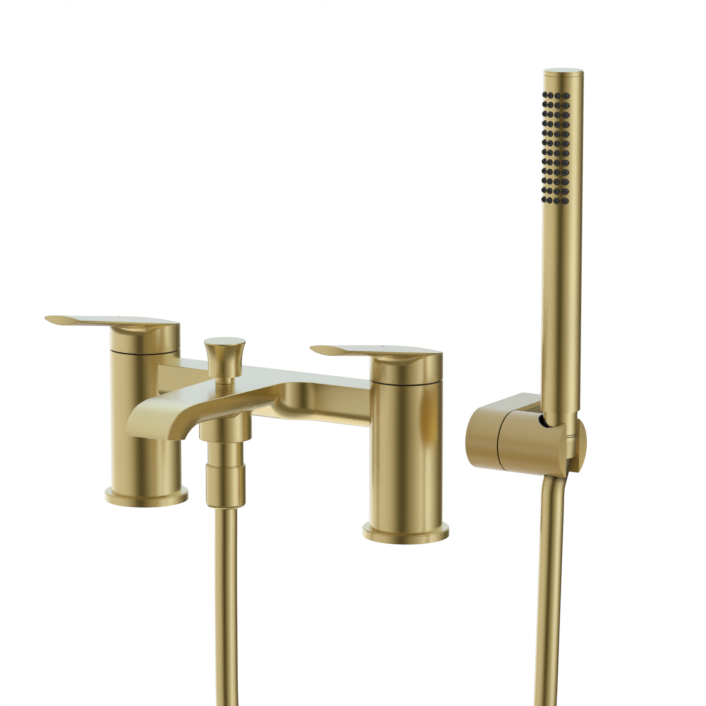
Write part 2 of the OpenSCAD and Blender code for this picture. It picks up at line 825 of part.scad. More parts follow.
// Ceramic disc with two opposite quarter openings
module disc(z, turn) {
    port_r = disc_d / 2 - 2;
    color(ceramic) translate([0, 0, z]) rotate([0, 0, turn]) difference() {
        cylinder(d = disc_d, h = disc_h);
        for (a = [0, 180])
            rotate([0, 0, a]) translate([1, 1, -cut]) intersection() {
                cube([port_r, port_r, disc_h + 2 * cut]);
                cylinder(r = port_r - 1, h = disc_h + 2 * cut);
            }
    }
}

module slip_ring() {
    color(plastic) ring(slip_out, slip_in, slip_bottom, slip_bottom + slip_h);
}

module spindle() {
    color(dark_brass) {
        post(spindle_head_d, spindle_head_z, spindle_head_z + spindle_head_h);
        post(spindle_d, spindle_head_z + spindle_head_h - cut, spindle_top);
    }
}

module hub() {
    color(plastic) difference() {
        post(hub_d, hub_bottom, hub_top);
        post(spindle_d + 2 * fixed_gap, hub_bottom - cut, spindle_top + fixed_gap);
        translate([0, 0, grub_z]) rotate([-90, 0, 0]) cylinder(d = screw_d + 2 * fixed_gap, h = hub_d);
    }
}

module grub_screw() {
    color(plastic) translate([0, spindle_d / 2 + 2 * fixed_gap, grub_z]) rotate([-90, 0, 0])
        cylinder(d = screw_d, h = (hub_d - spindle_d) / 2);
}

module lever() {
    color(brass) difference() {
        loft(lever_sections);
        post(pillar_d - 2 * lever_wall, lever_bottom - cut, hub_seat - 1);
        post(hub_d + 2 * fixed_gap, lever_bottom, hub_top + fixed_gap);
        translate([0, 0, grub_z]) rotate([-90, 0, 0]) cylinder(d = screw_d + 1, h = pillar_d);
        index_socket();
    }
}

module index_socket() {
    translate([0, -index_y, index_z - index_depth])
        cylinder(d = index_d + 2 * fixed_gap, h = 3 * index_depth);
}

module index_dot(tone) {
    color(tone) translate([0, -index_y, index_z - index_depth]) cylinder(d = index_d, h = index_depth);
}

module hot_pillar() { at_hot() pillar(1); }
module cold_pillar() { at_cold() pillar(-1); }

module hot_flange() { at_hot() flange(); }
module cold_flange() { at_cold() flange(); }
module hot_gasket() { at_hot() gasket(); }
module cold_gasket() { at_cold() gasket(); }
module hot_cartridge() { at_hot() cartridge(); }
module cold_cartridge() { at_cold() cartridge(); }
module hot_seat_seal() { at_hot() seat_seal(); }
module cold_seat_seal() { at_cold() seat_seal(); }
module hot_fixed_disc() { at_hot() disc(fixed_disc_z, 0); }
module cold_fixed_disc() { at_cold() disc(fixed_disc_z, 0); }
module hot_slip_ring() { at_hot() slip_ring(); }
module cold_slip_ring() { at_cold() slip_ring(); }
module hot_lever() { at_hot() lever(); }
module cold_lever() { at_cold() lever(); }
module hot_hub() { at_hot() hub(); }
module cold_hub() { at_cold() hub(); }
module hot_index() { at_hot() index_dot("red"); }
module cold_index() { at_cold() index_dot("blue"); }
module hot_grub_screw() { at_hot() grub_screw(); }
module cold_grub_screw() { at_cold() grub_screw(); }
module hot_spindle() { at_hot() spindle(); }
module cold_spindle() { at_cold() spindle(); }
module hot_turning_disc() { at_hot() disc(turning_disc_z, 90); }
module cold_turning_disc() { at_cold() disc(turning_disc_z, 90); }

// Outline of the fixed bracket part in the plane of the wall section: round front, flat to the wall
module bracket_outline(inset) {
    circle(r = holder_r - inset);
    translate([0, inset - holder_r]) square([wall_y + handset_y, holder_d - 2 * inset]);
}

module bracket_cover() {
    color(brass) along_holder() difference() {
        translate([0, 0, bracket_left]) linear_extrude(bracket_seam - bracket_left) bracket_outline(0);
        translate([0, 0, bracket_left + cover_wall])
            linear_extrude(bracket_seam - bracket_left) bracket_inner();
        cover_screw_hole(fixed_gap);
    }
}

// Space inside the cover, open at the wall
module bracket_inner() {
    circle(r = holder_r - cover_wall);
    translate([0, cover_wall - holder_r]) square([wall_y + handset_y + cut, holder_d - 2 * cover_wall]);
}

module cover_screw_hole(gap) {
    translate([handset_y + wall_y / 2, -holder_r - cut, bracket_mid]) rotate([-90, 0, 0])
        cylinder(d = screw_d + 2 * gap, h = cut + screw_inset + cover_wall + screw_grip + gap);
}

module bracket_core() {
    color(brass) along_holder() difference() {
        translate([0, 0, core_left]) linear_extrude(bracket_seam - core_left)
            bracket_outline(cover_wall + fixed_gap);
        translate([-holder_d - core_front, -holder_r, bracket_left])
            cube([holder_d, holder_d, holder_l]);
        translate([0, 0, core_left - cut]) cylinder(d = pivot_d + 2 * running_gap, h = holder_end);
        translate([0, 0, core_left - cut])
            cylinder(d = pivot_head_d + 2 * face_gap, h = pivot_head_h + face_gap + cut);
        for (s = [-1, 1])
            translate([-holder_d, s * wall_hole_pitch / 2, bracket_mid + screw_shift])
                rotate([0, 90, 0]) cylinder(d = wall_hole_d, h = wall_y + handset_y + 2 * holder_d);
        cover_screw_hole(fixed_gap);
    }
}

module cover_screw() {
    color(dark_brass) along_holder()
        translate([handset_y + wall_y / 2, -holder_r + screw_inset, bracket_mid])
            rotate([-90, 0, 0]) cylinder(d = screw_d, h = cover_wall + screw_grip);
}

module pivot_bolt() {
    color(dark_brass) along_holder() {
        translate([0, 0, core_left + face_gap]) cylinder(d = pivot_head_d, h = pivot_head_h - face_gap);
        translate([0, 0, core_left + face_gap]) cylinder(d = pivot_d, h = pivot_end - core_left - face_gap);
    }
}

module friction_washer() {
    color(plastic) along_holder() translate([0, 0, bracket_seam + fixed_gap])
        difference() {
            cylinder(d = holder_d - 2 * seam_depth, h = holder_seam - fixed_gap);
            translate([0, 0, -cut]) cylinder(d = pivot_d + 2 * fixed_gap, h = 3 * cut);
        }
}

// Cone of the handset seat, widened by a gap
module seat_cone(gap, low, high) {
    translate([0, 0, low]) cylinder(
        d1 = cone_d + 2 * cone_slope * (low - cone_bottom) + 2 * gap,
        d2 = cone_d + 2 * cone_slope * (high - cone_bottom) + 2 * gap,
        h = high - low
    );
}

// Round hole that is widened away from the slot by a second one
module widened_post(d, shift, low, high) {
    post(d, low, high);
    translate(shift) post(d, low, high);
}

module bracket_holder() {
    edge = 0.4;
    socket_d = neck_d + 2 * socket_play;
    color(brass) difference() {
        along_holder() {
            translate([0, 0, holder_x]) cylinder(d = holder_d, h = holder_end - edge - holder_x);
            translate([0, 0, holder_end - edge]) cylinder(d1 = holder_d, d2 = holder_d - 2 * edge, h = edge);
        }
        at_handset() seat_cone(socket_gap, cone_bottom - socket_lead, cone_top);
        at_handset() widened_post(socket_d, socket_shift, cone_top - fixed_gap, holder_z + holder_d);
        at_handset() widened_post(slot_w + 2 * hose_room, hose_shift, holder_z - holder_d, cone_bottom);
        translate([handset_x, -handset_y - slot_w / 2, holder_z - holder_d])
            cube([holder_d, slot_w, 2 * holder_d]);
        along_holder() translate([0, 0, holder_x - cut])
            cylinder(d = pivot_d + 2 * fixed_gap, h = pivot_end - holder_x + cut + fixed_gap);
    }
}

module cone_nut() {
    color(brass) at_handset() difference() {
        seat_cone(0, cone_bottom, cone_top);
        post(hose_hole_d, cone_bottom - cut, ferrule_top);
        post(spigot_thread_d + 2 * fixed_gap, cone_bottom, cone_top + cut);
    }
}

module handset_ferrule() {
    color(dark_brass) at_handset() ring(spigot_thread_d, hose_bore, ferrule_top - end_ring_h, ferrule_top);
}

module inlet_washer() {
    color(rubber) at_handset() ring(spigot_thread_d, hose_bore, ferrule_top, ferrule_top + inlet_washer_h);
}

module handset_neck() {
    color(brass) at_handset() difference() {
        union() {
            post(neck_d, cone_top, handset_bottom);
            post(plug_d, handset_bottom - cut, handset_bottom + neck_spigot_h);
            post(spigot_thread_d, ferrule_top + inlet_washer_h, cone_top + cut);
        }
        for (high = [neck_line_top, neck_line_top - neck_line_pitch])
            ring(neck_d + 2 * cut, neck_d - 2 * neck_line_depth, high - neck_line_h, high);
        post(hose_bore, 0, handset_top);
    }
}

function nozzle_x(column) = (column - (nozzle_columns - 1) / 2) * nozzle_spacing;
// Depth of a round face of the handset behind a plan line beside its axis
function face_depth(d, x) = sqrt(d * d / 4 - x * x);

// Places children at every nozzle of a column: local Z points out of the tube
module at_nozzles(column) {
    for (row = [0:nozzle_rows - 1])
        at_handset() translate([nozzle_x(column), 0, nozzle_top - row * nozzle_pitch])
            rotate([90, 0, 0]) children();
}

// Straight bores through every nozzle place
module nozzle_bores(d, sides) {
    for (column = [0:nozzle_columns - 1])
        at_nozzles(column) cylinder(d = d, h = handset_d, $fn = sides);
}

module handset_tube() {
    color(brass) difference() {
        at_handset() ring(handset_d, tube_bore, handset_bottom, handset_top - cap_h - cap_groove);
        nozzle_bores(nozzle_d + 2 * nozzle_play, 24);
    }
}

module handset_cap() {
    color(brass) at_handset() {
        post(handset_d, handset_top - cap_h, handset_top - rim);
        post(handset_d - 2 * rim, handset_top - rim - cut, handset_top);
        post(plug_d, handset_top - cap_h - cap_plug_h, handset_top - cap_h);
    }
}

module spray_carrier() {
    floor_h = 2;
    color(plastic) difference() {
        at_handset() post(carrier_d, handset_bottom + neck_spigot_h, carrier_top);
        at_handset() post(carrier_d - 2 * carrier_wall, handset_bottom, carrier_top - floor_h);
        nozzle_bores(nozzle_hole_d, 16);
    }
}

module nozzle_strip() {
    strip_angle = 2 * asin(2 * (nozzle_x(nozzle_columns - 1) + nozzle_d / 2) / plug_d);
    low = nozzle_top - (nozzle_rows - 1) * nozzle_pitch - strip_margin;
    color(rubber) difference() {
        union() {
            at_handset() translate([0, 0, low]) rotate([0, 0, -90 - strip_angle / 2])
                rotate_extrude(angle = strip_angle)
                    translate([strip_in / 2, 0])
                        square([(plug_d - strip_in) / 2, nozzle_top + strip_margin - low]);
            for (column = [0:nozzle_columns - 1])
                nozzle_column(column);
        }
        nozzle_bores(nozzle_hole_d, 16);
    }
}

module nozzle_column(column) {
    x = nozzle_x(column);
    low = face_depth(strip_in, abs(x) - nozzle_d / 2) + fixed_gap;
    at_nozzles(column) translate([0, 0, low])
        cylinder(d = nozzle_d, h = face_depth(handset_d, x) + nozzle_proud - low, $fn = 24);
}

module hose_mixer_run() {
    color(brass) hose(0, coil_first, hose_sides, [0, 1, 0]);
}

module hose_coil() {
    color(brass) hose(coil_first, coil_last, coil_sides, [-sin(coil_yaw), cos(coil_yaw), 0]);
}

module hose_handset_run() {
    color(brass) hose(coil_last, len(hose_path) - 1, hose_sides, [0, 1, 0]);
}

// Outline of the strap: flat above and below the turns, round at both ends
module tie_outline(grow) {
    for (side = [-1, 1])
        translate([side * tie_half, 0]) circle(d = tie_bore + 2 * grow);
    translate([-tie_half, -tie_bore / 2 - grow]) square([2 * tie_half, tie_bore + 2 * grow]);
}

// Strap round the turns at the bottom of the coil
module hose_tie() {
    color(rubber) translate(coil_centre - [0, 0, coil_d / 2]) rotate([90, 0, coil_yaw + 90])
        translate([0, 0, -tie_w / 2]) linear_extrude(tie_w) difference() {
            tie_outline(tie_h);
            tie_outline(0);
        }
}

bridge();
spout();
diverter_body();
diverter_bush();
flow_straightener();
hose_nipple();
nipple_washer();
mixer_hose_nut();
mixer_ferrule();
hot_pillar();
cold_pillar();
hot_flange();
cold_flange();
hot_gasket();
cold_gasket();
hot_cartridge();
cold_cartridge();
hot_seat_seal();
cold_seat_seal();
hot_fixed_disc();
cold_fixed_disc();
hot_slip_ring();
cold_slip_ring();
hot_lever();
cold_lever();
hot_hub();
cold_hub();
hot_index();
cold_index();
hot_grub_screw();
cold_grub_screw();
hot_spindle();
cold_spindle();
hot_turning_disc();
cold_turning_disc();
diverter_knob();
diverter_rod();
diverter_disc();
diverter_seals();
bracket_cover();
bracket_core();
cover_screw();
bracket_holder();
pivot_bolt();
friction_washer();
handset_tube();
handset_cap();
spray_carrier();
nozzle_strip();
handset_neck();
inlet_washer();
cone_nut();
handset_ferrule();
hose_mixer_run();
hose_coil();
hose_handset_run();
hose_tie();
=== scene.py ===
from math import atan2, cos, pi, radians, sin, sqrt

import bpy
import numpy as np
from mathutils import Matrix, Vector


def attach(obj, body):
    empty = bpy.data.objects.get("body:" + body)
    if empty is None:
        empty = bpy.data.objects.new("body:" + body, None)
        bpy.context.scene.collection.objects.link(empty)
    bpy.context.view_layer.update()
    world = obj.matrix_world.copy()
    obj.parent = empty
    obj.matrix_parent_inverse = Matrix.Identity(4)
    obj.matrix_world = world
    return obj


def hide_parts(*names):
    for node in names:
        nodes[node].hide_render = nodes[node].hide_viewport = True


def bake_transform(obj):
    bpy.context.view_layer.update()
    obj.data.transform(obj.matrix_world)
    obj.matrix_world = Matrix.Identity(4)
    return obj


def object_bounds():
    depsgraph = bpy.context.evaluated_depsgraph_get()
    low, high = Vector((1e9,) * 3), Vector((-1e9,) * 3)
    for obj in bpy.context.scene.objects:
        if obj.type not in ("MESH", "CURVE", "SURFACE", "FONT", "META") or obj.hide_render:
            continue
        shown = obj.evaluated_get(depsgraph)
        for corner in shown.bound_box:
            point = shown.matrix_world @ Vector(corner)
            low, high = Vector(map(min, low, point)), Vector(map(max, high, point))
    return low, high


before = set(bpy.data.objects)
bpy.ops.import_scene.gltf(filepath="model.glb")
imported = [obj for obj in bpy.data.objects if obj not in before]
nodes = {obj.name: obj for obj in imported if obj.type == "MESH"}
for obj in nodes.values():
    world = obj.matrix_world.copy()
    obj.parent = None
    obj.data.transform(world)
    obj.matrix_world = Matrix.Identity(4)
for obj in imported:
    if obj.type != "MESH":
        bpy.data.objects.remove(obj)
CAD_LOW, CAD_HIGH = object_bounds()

MM = 0.001

# Camera at the photograph's viewing angle
CAMERA_AZIMUTH = 31.285
CAMERA_ELEVATION = 10.719
CAMERA_DISTANCE = 2.2
CAMERA_LENS = 197.4
CAMERA_SENSOR = 36
CAMERA_TARGET = Vector((0.06663, -0.020, 0.10711))


def place_camera():
    az, el = radians(CAMERA_AZIMUTH), radians(CAMERA_ELEVATION)
    back = Vector((sin(az) * cos(el), -cos(az) * cos(el), sin(el)))
    data = bpy.data.cameras.new("camera")
    data.lens = CAMERA_LENS
    data.sensor_width = CAMERA_SENSOR
    camera = bpy.data.objects.new("camera", data)
    bpy.context.collection.objects.link(camera)
    camera.location = CAMERA_TARGET + back * CAMERA_DISTANCE
    camera.rotation_mode = "QUATERNION"
    camera.rotation_quaternion = (-back).to_track_quat("-Z", "Y")
    bpy.context.scene.camera = camera


place_camera()


# Mesh helpers: all lengths inside the builders are millimetres
def new_mesh(name, points, faces, smooth_angle=45):
    mesh = bpy.data.meshes.new(name)
    mesh.from_pydata([tuple(c * MM for c in p) for p in points], [], faces)
    mesh.validate()
    mesh.shade_smooth()
    mesh.set_sharp_from_angle(angle=radians(smooth_angle))
    obj = bpy.data.objects.new(name, mesh)
    bpy.context.collection.objects.link(obj)
    return obj


def skin(name, rings, smooth_angle=45, cap_first=True, cap_last=True, flip=False):
    """Closed skin over rings of points with the same count."""
    n = len(rings[0])
    points = [p for ring in rings for p in ring]
    faces = []
    for i in range(len(rings) - 1):
        for k in range(n):
            a, b = i * n + k, i * n + (k + 1) % n
            faces.append((a, b, b + n, a + n))
    if cap_first:
        faces.append(tuple(reversed(range(n))))
    if cap_last:
        faces.append(tuple(range((len(rings) - 1) * n, len(rings) * n)))
    if flip:
        faces = [tuple(reversed(f)) for f in faces]
    return new_mesh(name, points, faces, smooth_angle)


# Hose: the route of the CAD source to within a millimetre, in metres
HOSE_D = 0.0132
MIXER_ROUTE = [
    (0, -0.051, 0.019), (0, -0.051, 0.009), (-0.0002, -0.051, -0.008), (-0.00035, -0.051, -0.028),
    (-0.00035, -0.051, -0.052), (-0.0002, -0.0511, -0.078), (0.0003, -0.0512, -0.104),
    (0.0029, -0.052, -0.1224), (0.0109, -0.0542, -0.1408), (0.0228, -0.0576, -0.1592),
    (0.0308, -0.0599, -0.1776),
]
HANDSET_ROUTE = [
    (0.159, -0.0021, -0.174), (0.1665, -0.0044, -0.152), (0.1778, -0.0079, -0.13),
    (0.1854, -0.0103, -0.108), (0.1877, -0.0109, -0.086), (0.1889, -0.011, -0.052),
    (0.1897, -0.0109, -0.022), (0.1903, -0.0107, 0.004), (0.1907, -0.0105, 0.022),
    (0.1908, -0.0102, 0.034), (0.191, -0.00993, 0.041), (0.1922, -0.0091, 0.048),
    (0.1935, -0.00828, 0.055), (0.194, -0.008, 0.062), (0.194, -0.008, 0.0673),
]
COIL_CENTRE = (0.095, -0.031, -0.196)
COIL_R = 0.066
COIL_YAW = radians(11)
COIL_PITCH = 0.0139
COIL_TURNS = 2.5
COIL_TURN_STEPS = 24
# The hose is split below the holder, on its handset side
HOSE_SPLIT_Z = -0.0125
HOSE_SPLIT_X = 0.18
HOSE_SIDES = 28
HOSE_STEP = 0.0025
HOSE_SMOOTH = 60


def coil_route():
    shift = COIL_PITCH * COIL_TURNS
    route = []
    for i in range(int(COIL_TURN_STEPS * COIL_TURNS) + 1):
        a = pi + 2 * pi * i / COIL_TURN_STEPS
        s = COIL_PITCH * i / COIL_TURN_STEPS - shift / 2
        route.append((
            COIL_CENTRE[0] + COIL_R * cos(a) * cos(COIL_YAW) - s * sin(COIL_YAW),
            COIL_CENTRE[1] + COIL_R * cos(a) * sin(COIL_YAW) + s * cos(COIL_YAW),
            COIL_CENTRE[2] + COIL_R * sin(a),
        ))
    return route


def spline(points, step):
    """Points at even steps on one smooth curve through the route."""
    p = np.array(points, float)
    n = len(p)
    h = np.linalg.norm(np.diff(p, axis=0), axis=1)
    t = np.concatenate([[0], np.cumsum(h)])
    left = np.zeros((n, n))
    right = np.zeros((n, 3))
    left[0, 0] = left[-1, -1] = 1
    for i in range(1, n - 1):
        left[i, i - 1], left[i, i], left[i, i + 1] = h[i - 1], 2 * (h[i - 1] + h[i]), h[i]
        right[i] = 6 * ((p[i + 1] - p[i]) / h[i] - (p[i] - p[i - 1]) / h[i - 1])
    m = np.linalg.solve(left, right)
    u = np.linspace(0, t[-1], int(t[-1] / step) + 1)
    k = np.clip(np.searchsorted(t, u, side="right") - 1, 0, n - 2)
    w = h[k][:, None]
    a = (t[k + 1] - u)[:, None] / w
    b = (u - t[k])[:, None] / w
    return a * p[k] + b * p[k + 1] + ((a**3 - a) * m[k] + (b**3 - b) * m[k + 1]) * w**2 / 6


def tube(name, path, tangents, ups, d, start):
    """Round tube along a path, with its length and turn as the UV map."""
    rings = []
    for p, t, up in zip(path, tangents, ups):
        side = np.cross(t, up)
        turns = [2 * pi * k / HOSE_SIDES for k in range(HOSE_SIDES)]
        rings.append([tuple((p + d / 2 * (cos(a) * up + sin(a) * side)) / MM) for a in turns])
    obj = skin(name, rings, HOSE_SMOOTH)
    uv = obj.data.uv_layers.new(name="along")
    for loop in obj.data.loops:
        ring, k = divmod(loop.vertex_index, HOSE_SIDES)
        uv.data[loop.index].uv = ((start + ring) * HOSE_STEP, k / HOSE_SIDES)
    return obj


def make_hose():
    path = spline(MIXER_ROUTE + coil_route() + HANDSET_ROUTE, HOSE_STEP)
    tangents = np.gradient(path, axis=0)
    tangents /= np.linalg.norm(tangents, axis=1)[:, None]
    ups = [np.array((1.0, 0.0, 0.0))]
    for t in tangents[1:]:
        up = ups[-1] - t * float(ups[-1] @ t)
        ups.append(up / np.linalg.norm(up))
    split = max(i for i, p in enumerate(path) if p[2] < HOSE_SPLIT_Z and p[0] > HOSE_SPLIT_X)
    end = split + 1
    long = tube("shower_hose", path[:end], tangents[:end], ups[:end], HOSE_D, 0)
    short = tube("hose_handset_end", path[split:], tangents[split:], ups[split:], HOSE_D, split)
    return path, split, long, short


hose_path, hose_split, hose, hose_end = make_hose()
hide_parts("hose_mixer_run", "hose_coil")
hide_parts("hose_handset_run")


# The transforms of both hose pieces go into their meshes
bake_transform(hose)
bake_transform(hose_end)


# Bridge and spout: one casting with a flat top, a bullnose side and a crisp upper edge
BRIDGE_HALF = 12
BRIDGE_TOP = 85.4
BRIDGE_BOTTOM = 61
BRIDGE_ROUND = 10
BRIDGE_END = 75
SPOUT_REACH = 132.5
ROOT_W = 39.4
TIP_W = 28.7
SPOUT_THICK = 13.4
ROOT_THICK = BRIDGE_TOP - BRIDGE_BOTTOM
SPOUT_RISE = 1.7
BEND_R = 23.2
BEND_ANGLE = radians(72)
FLARE_R = 16.5
SIDE_ROUND = 5
LIP_ROUND = 2.2
EASE_IN = 12
SIDE_FLAT = 0.15
ROOT_FLAT = 1 - BRIDGE_ROUND / ROOT_THICK
FLARE_END = -BRIDGE_HALF - FLARE_R
BEND_Y = -(SPOUT_REACH - BEND_R * sin(BEND_ANGLE))
BEND_Z = BRIDGE_TOP + SPOUT_RISE - BEND_R
INNER_R = 28.5
INNER_FORWARD = 17.4
INNER_Y = BEND_Y + INNER_FORWARD
INNER_ANGLE = radians(39)
TOP_EDGE = 0.4
BAR_EDGE = 0.35
# Share of an edge's width at the middle of its rounding
EDGE_MIDDLE = 0.29
BAR_EDGE_MIDDLE = 0.3
# Edge of the bar where it runs into the spout, as a share of the edge beside it
HIDDEN_EDGE = 0.02
HIDDEN_STEP = 1e-3
DIVERTER_Y = -51
CASTING_SMOOTH = 50
# The first ring of the spout is sunk into the bar
ROOT_SINK, ROOT_NARROW, ROOT_LOW = 3, 0.99, 0.95
# Outlet slot: lip proud of the mouth, then half width, half length, corner power and depth of each ring
LIP_SHARE = 0.985
LIP_PROUD = 0.12
OUTLET_RINGS = [(8.9, 4.35, 8, -LIP_PROUD), (8.55, 4.05, 12, 0.3), (8.55, 4.05, 12, 8)]


def ease(t):
    t = min(1, max(0, t))
    return t * t * (3 - 2 * t)


def spout_top(y):
    return BRIDGE_TOP + SPOUT_RISE * (-BRIDGE_HALF - y) / (-BRIDGE_HALF - BEND_Y)


def top_line(s):
    """Point of the spout's top line, s past the start of the bend."""
    if s < 0:
        return BEND_Y - s, spout_top(BEND_Y - s)
    return BEND_Y - BEND_R * sin(s / BEND_R), BEND_Z + BEND_R * cos(s / BEND_R)


def soft_top(s):
    """Top line with its curvature eased in before the bend."""
    reach = EASE_IN * (1 - max(0, s) / (BEND_R * BEND_ANGLE))
    steps = 6
    near = [top_line(s + reach * k / steps) for k in range(-steps, steps + 1)]
    return sum(p[0] for p in near) / len(near), sum(p[1] for p in near) / len(near)


def spout_half(y):
    return (ROOT_W - (ROOT_W - TIP_W) * (FLARE_END - y) / (FLARE_END + SPOUT_REACH)) / 2


def flared(y, root, end):
    """Change from the root of the flare to its end."""
    return end + (root - end) * (1 - ease(((-BRIDGE_HALF - y) / FLARE_R) ** 2))


def side_at(y):
    """Depth of the spout's side, its rounding and the flat share above the rounding."""
    depth = flared(y, ROOT_THICK, SPOUT_THICK)
    rounding = flared(y, BRIDGE_ROUND, SIDE_ROUND)
    return depth, rounding, flared(y, ROOT_FLAT, SIDE_FLAT)


def spout_section(top, under, half, inward, rounding, flat):
    """Ring of points: right side from the top edge down, underside, left side up, and the top."""
    first = TOP_EDGE / (top[1] - under[1])
    side = [(TOP_EDGE, 0), (TOP_EDGE * EDGE_MIDDLE, first * EDGE_MIDDLE)]
    side += [(0, first + (flat - first) * k / 4) for k in range(5)]
    steps = 18
    for k in range(1, steps + 1):
        a = pi / 2 * k / steps
        side.append((rounding * (1 - cos(a)), flat + (1 - flat) * sin(a)))
    right = [
        (
            half + inward[0] * inset,
            top[0] + (under[0] - top[0]) * q + inward[1] * inset,
            top[1] + (under[1] - top[1]) * q,
        )
        for inset, q in side
    ]
    left = [(-x, y, z) for x, y, z in reversed(right)]
    across = 6
    low, high = right[-1], right[0]
    bottom = [(low[0] * (1 - 2 * k / across), low[1], low[2]) for k in range(1, across)]
    upper = [(-high[0] * (1 - 2 * k / across), high[1], high[2]) for k in range(1, across)]
    return right + bottom + left + upper


def make_spout():
    rings = []
    steps = 22
    for i in range(steps + 1):
        b = pi / 2 * i / steps
        y = FLARE_END + FLARE_R * cos(b)
        half = ROOT_W / 2 + FLARE_R * (1 - sin(b))
        inward = -sin(b), cos(b)
        drop, rounding, flat = side_at(y)
        z = spout_top(y)
        rings.append(spout_section((y, z), (y, z - drop), half, inward, rounding, flat))
    middle = (BRIDGE_TOP + BRIDGE_BOTTOM) / 2
    rings.insert(0, [
        (x * ROOT_NARROW, y + ROOT_SINK, middle + (z - middle) * ROOT_LOW) for x, y, z in rings[0]
    ])
    steps = 24
    for i in range(1, steps + 1):
        t = i / (steps + 1)
        y = FLARE_END + (BEND_Y - FLARE_END) * t
        u = FLARE_END + (INNER_Y - FLARE_END) * t
        under = (u, spout_top(y) - SPOUT_THICK)
        top = soft_top(BEND_Y - y)
        rings.append(spout_section(top, under, spout_half(y), (-1, 0), SIDE_ROUND, SIDE_FLAT))
    steps = 24
    for i in range(steps + 1):
        o, n = BEND_ANGLE * i / steps, INNER_ANGLE * i / steps
        top = soft_top(BEND_R * o)
        under = (INNER_Y - INNER_R * sin(n), spout_top(BEND_Y) - SPOUT_THICK - INNER_R * (1 - cos(n)))
        rounding = SIDE_ROUND + (LIP_ROUND - SIDE_ROUND) * i / steps
        rings.append(spout_section(top, under, spout_half(top[0]), (-1, 0), rounding, SIDE_FLAT))
    outer = rings[-1]
    middle = Vector((0, (top[0] + under[0]) / 2, (top[1] + under[1]) / 2))
    tilt = atan2(top[1] - under[1], under[0] - top[0])
    across, inward = Vector((0, cos(tilt), -sin(tilt))), Vector((0, sin(tilt), cos(tilt)))

    def slot(half_w, half_l, corner, depth):
        ring = []
        for p in outer:
            v = Vector(p) - middle
            x, s = v.x, v.dot(across)
            k = ((abs(x) / half_w) ** corner + (abs(s) / half_l) ** corner) ** (1 / corner)
            q = middle + Vector((x / k, 0, 0)) + across * (s / k) + inward * depth
            ring.append(tuple(q))
        return ring

    rings.append([
        tuple(Vector(p) * LIP_SHARE + middle * (1 - LIP_SHARE) - inward * LIP_PROUD) for p in outer
    ])
    rings += [slot(*sizes) for sizes in OUTLET_RINGS]
    return skin("spout_casting", rings, CASTING_SMOOTH, flip=True)


def make_bridge():
    """Bar between the pillars: round lower edges, and an upper edge that runs into the spout's flare."""
    steps = 12

    def profile(x, front_edge):
        e, m = BAR_EDGE, BAR_EDGE * BAR_EDGE_MIDDLE
        pts = [(BRIDGE_HALF - e, BRIDGE_TOP), (BRIDGE_HALF - m, BRIDGE_TOP - m), (BRIDGE_HALF, BRIDGE_TOP - e)]
        for k in range(steps + 1):
            a = pi / 2 * k / steps
            pts.append((
                BRIDGE_HALF - BRIDGE_ROUND * (1 - cos(a)),
                BRIDGE_BOTTOM + BRIDGE_ROUND * (1 - sin(a)),
            ))
        f, m = e * front_edge, e * front_edge * BAR_EDGE_MIDDLE
        front = [
            (-BRIDGE_HALF + f, BRIDGE_TOP),
            (-BRIDGE_HALF + m, BRIDGE_TOP - m),
            (-BRIDGE_HALF, BRIDGE_TOP - f - HIDDEN_STEP),
        ]
        lower = [(-y, z) for y, z in pts[3:]]
        return [(x, y, z) for y, z in pts + lower[::-1] + front[::-1]]

    half = ROOT_W / 2 + FLARE_R
    stops = [-BRIDGE_END, -60, -half - 0.5, -half + 3, -16, 0, 16, half - 3, half + 0.5, 60, BRIDGE_END]
    return skin("bridge_bar", [profile(x, 1 if abs(x) > half else HIDDEN_EDGE) for x in stops], CASTING_SMOOTH)


SKIRT_R = 15.15
SKIRT_BOTTOM = 56
SKIRT_BORE = 6.5
SKIRT_BORE_TOP = 60
SKIRT_RIM = 0.5
SKIRT_RIM_MIDDLE = 0.15
SKIRT_FILLETS = (1.2, 2.5)
# The fillet narrows towards the sides of the spout, to this share of the room there
FILLET_ROOM = 0.7
SPOUT_HALF_AT_SKIRT = 19.0
# The last ring ends inside the spout
SKIRT_SINK = 1.5
SKIRT_SINK_SHARE = 0.8
SKIRT_LAP = 0.05


def underside(x, y):
    """Height of the spout's lower surface over a point of the plan."""
    y = min(y, -BRIDGE_HALF - 1)
    if y > FLARE_END:
        half = ROOT_W / 2 + FLARE_R * (1 - sqrt(max(0, 1 - ((y - FLARE_END) / FLARE_R) ** 2)))
    else:
        half = spout_half(y)
    drop, rounding, flat = side_at(y)
    c = max(0, 1 - max(0, half - abs(x)) / rounding)
    return spout_top(y) - drop * (flat + (1 - flat) * sqrt(1 - c * c))


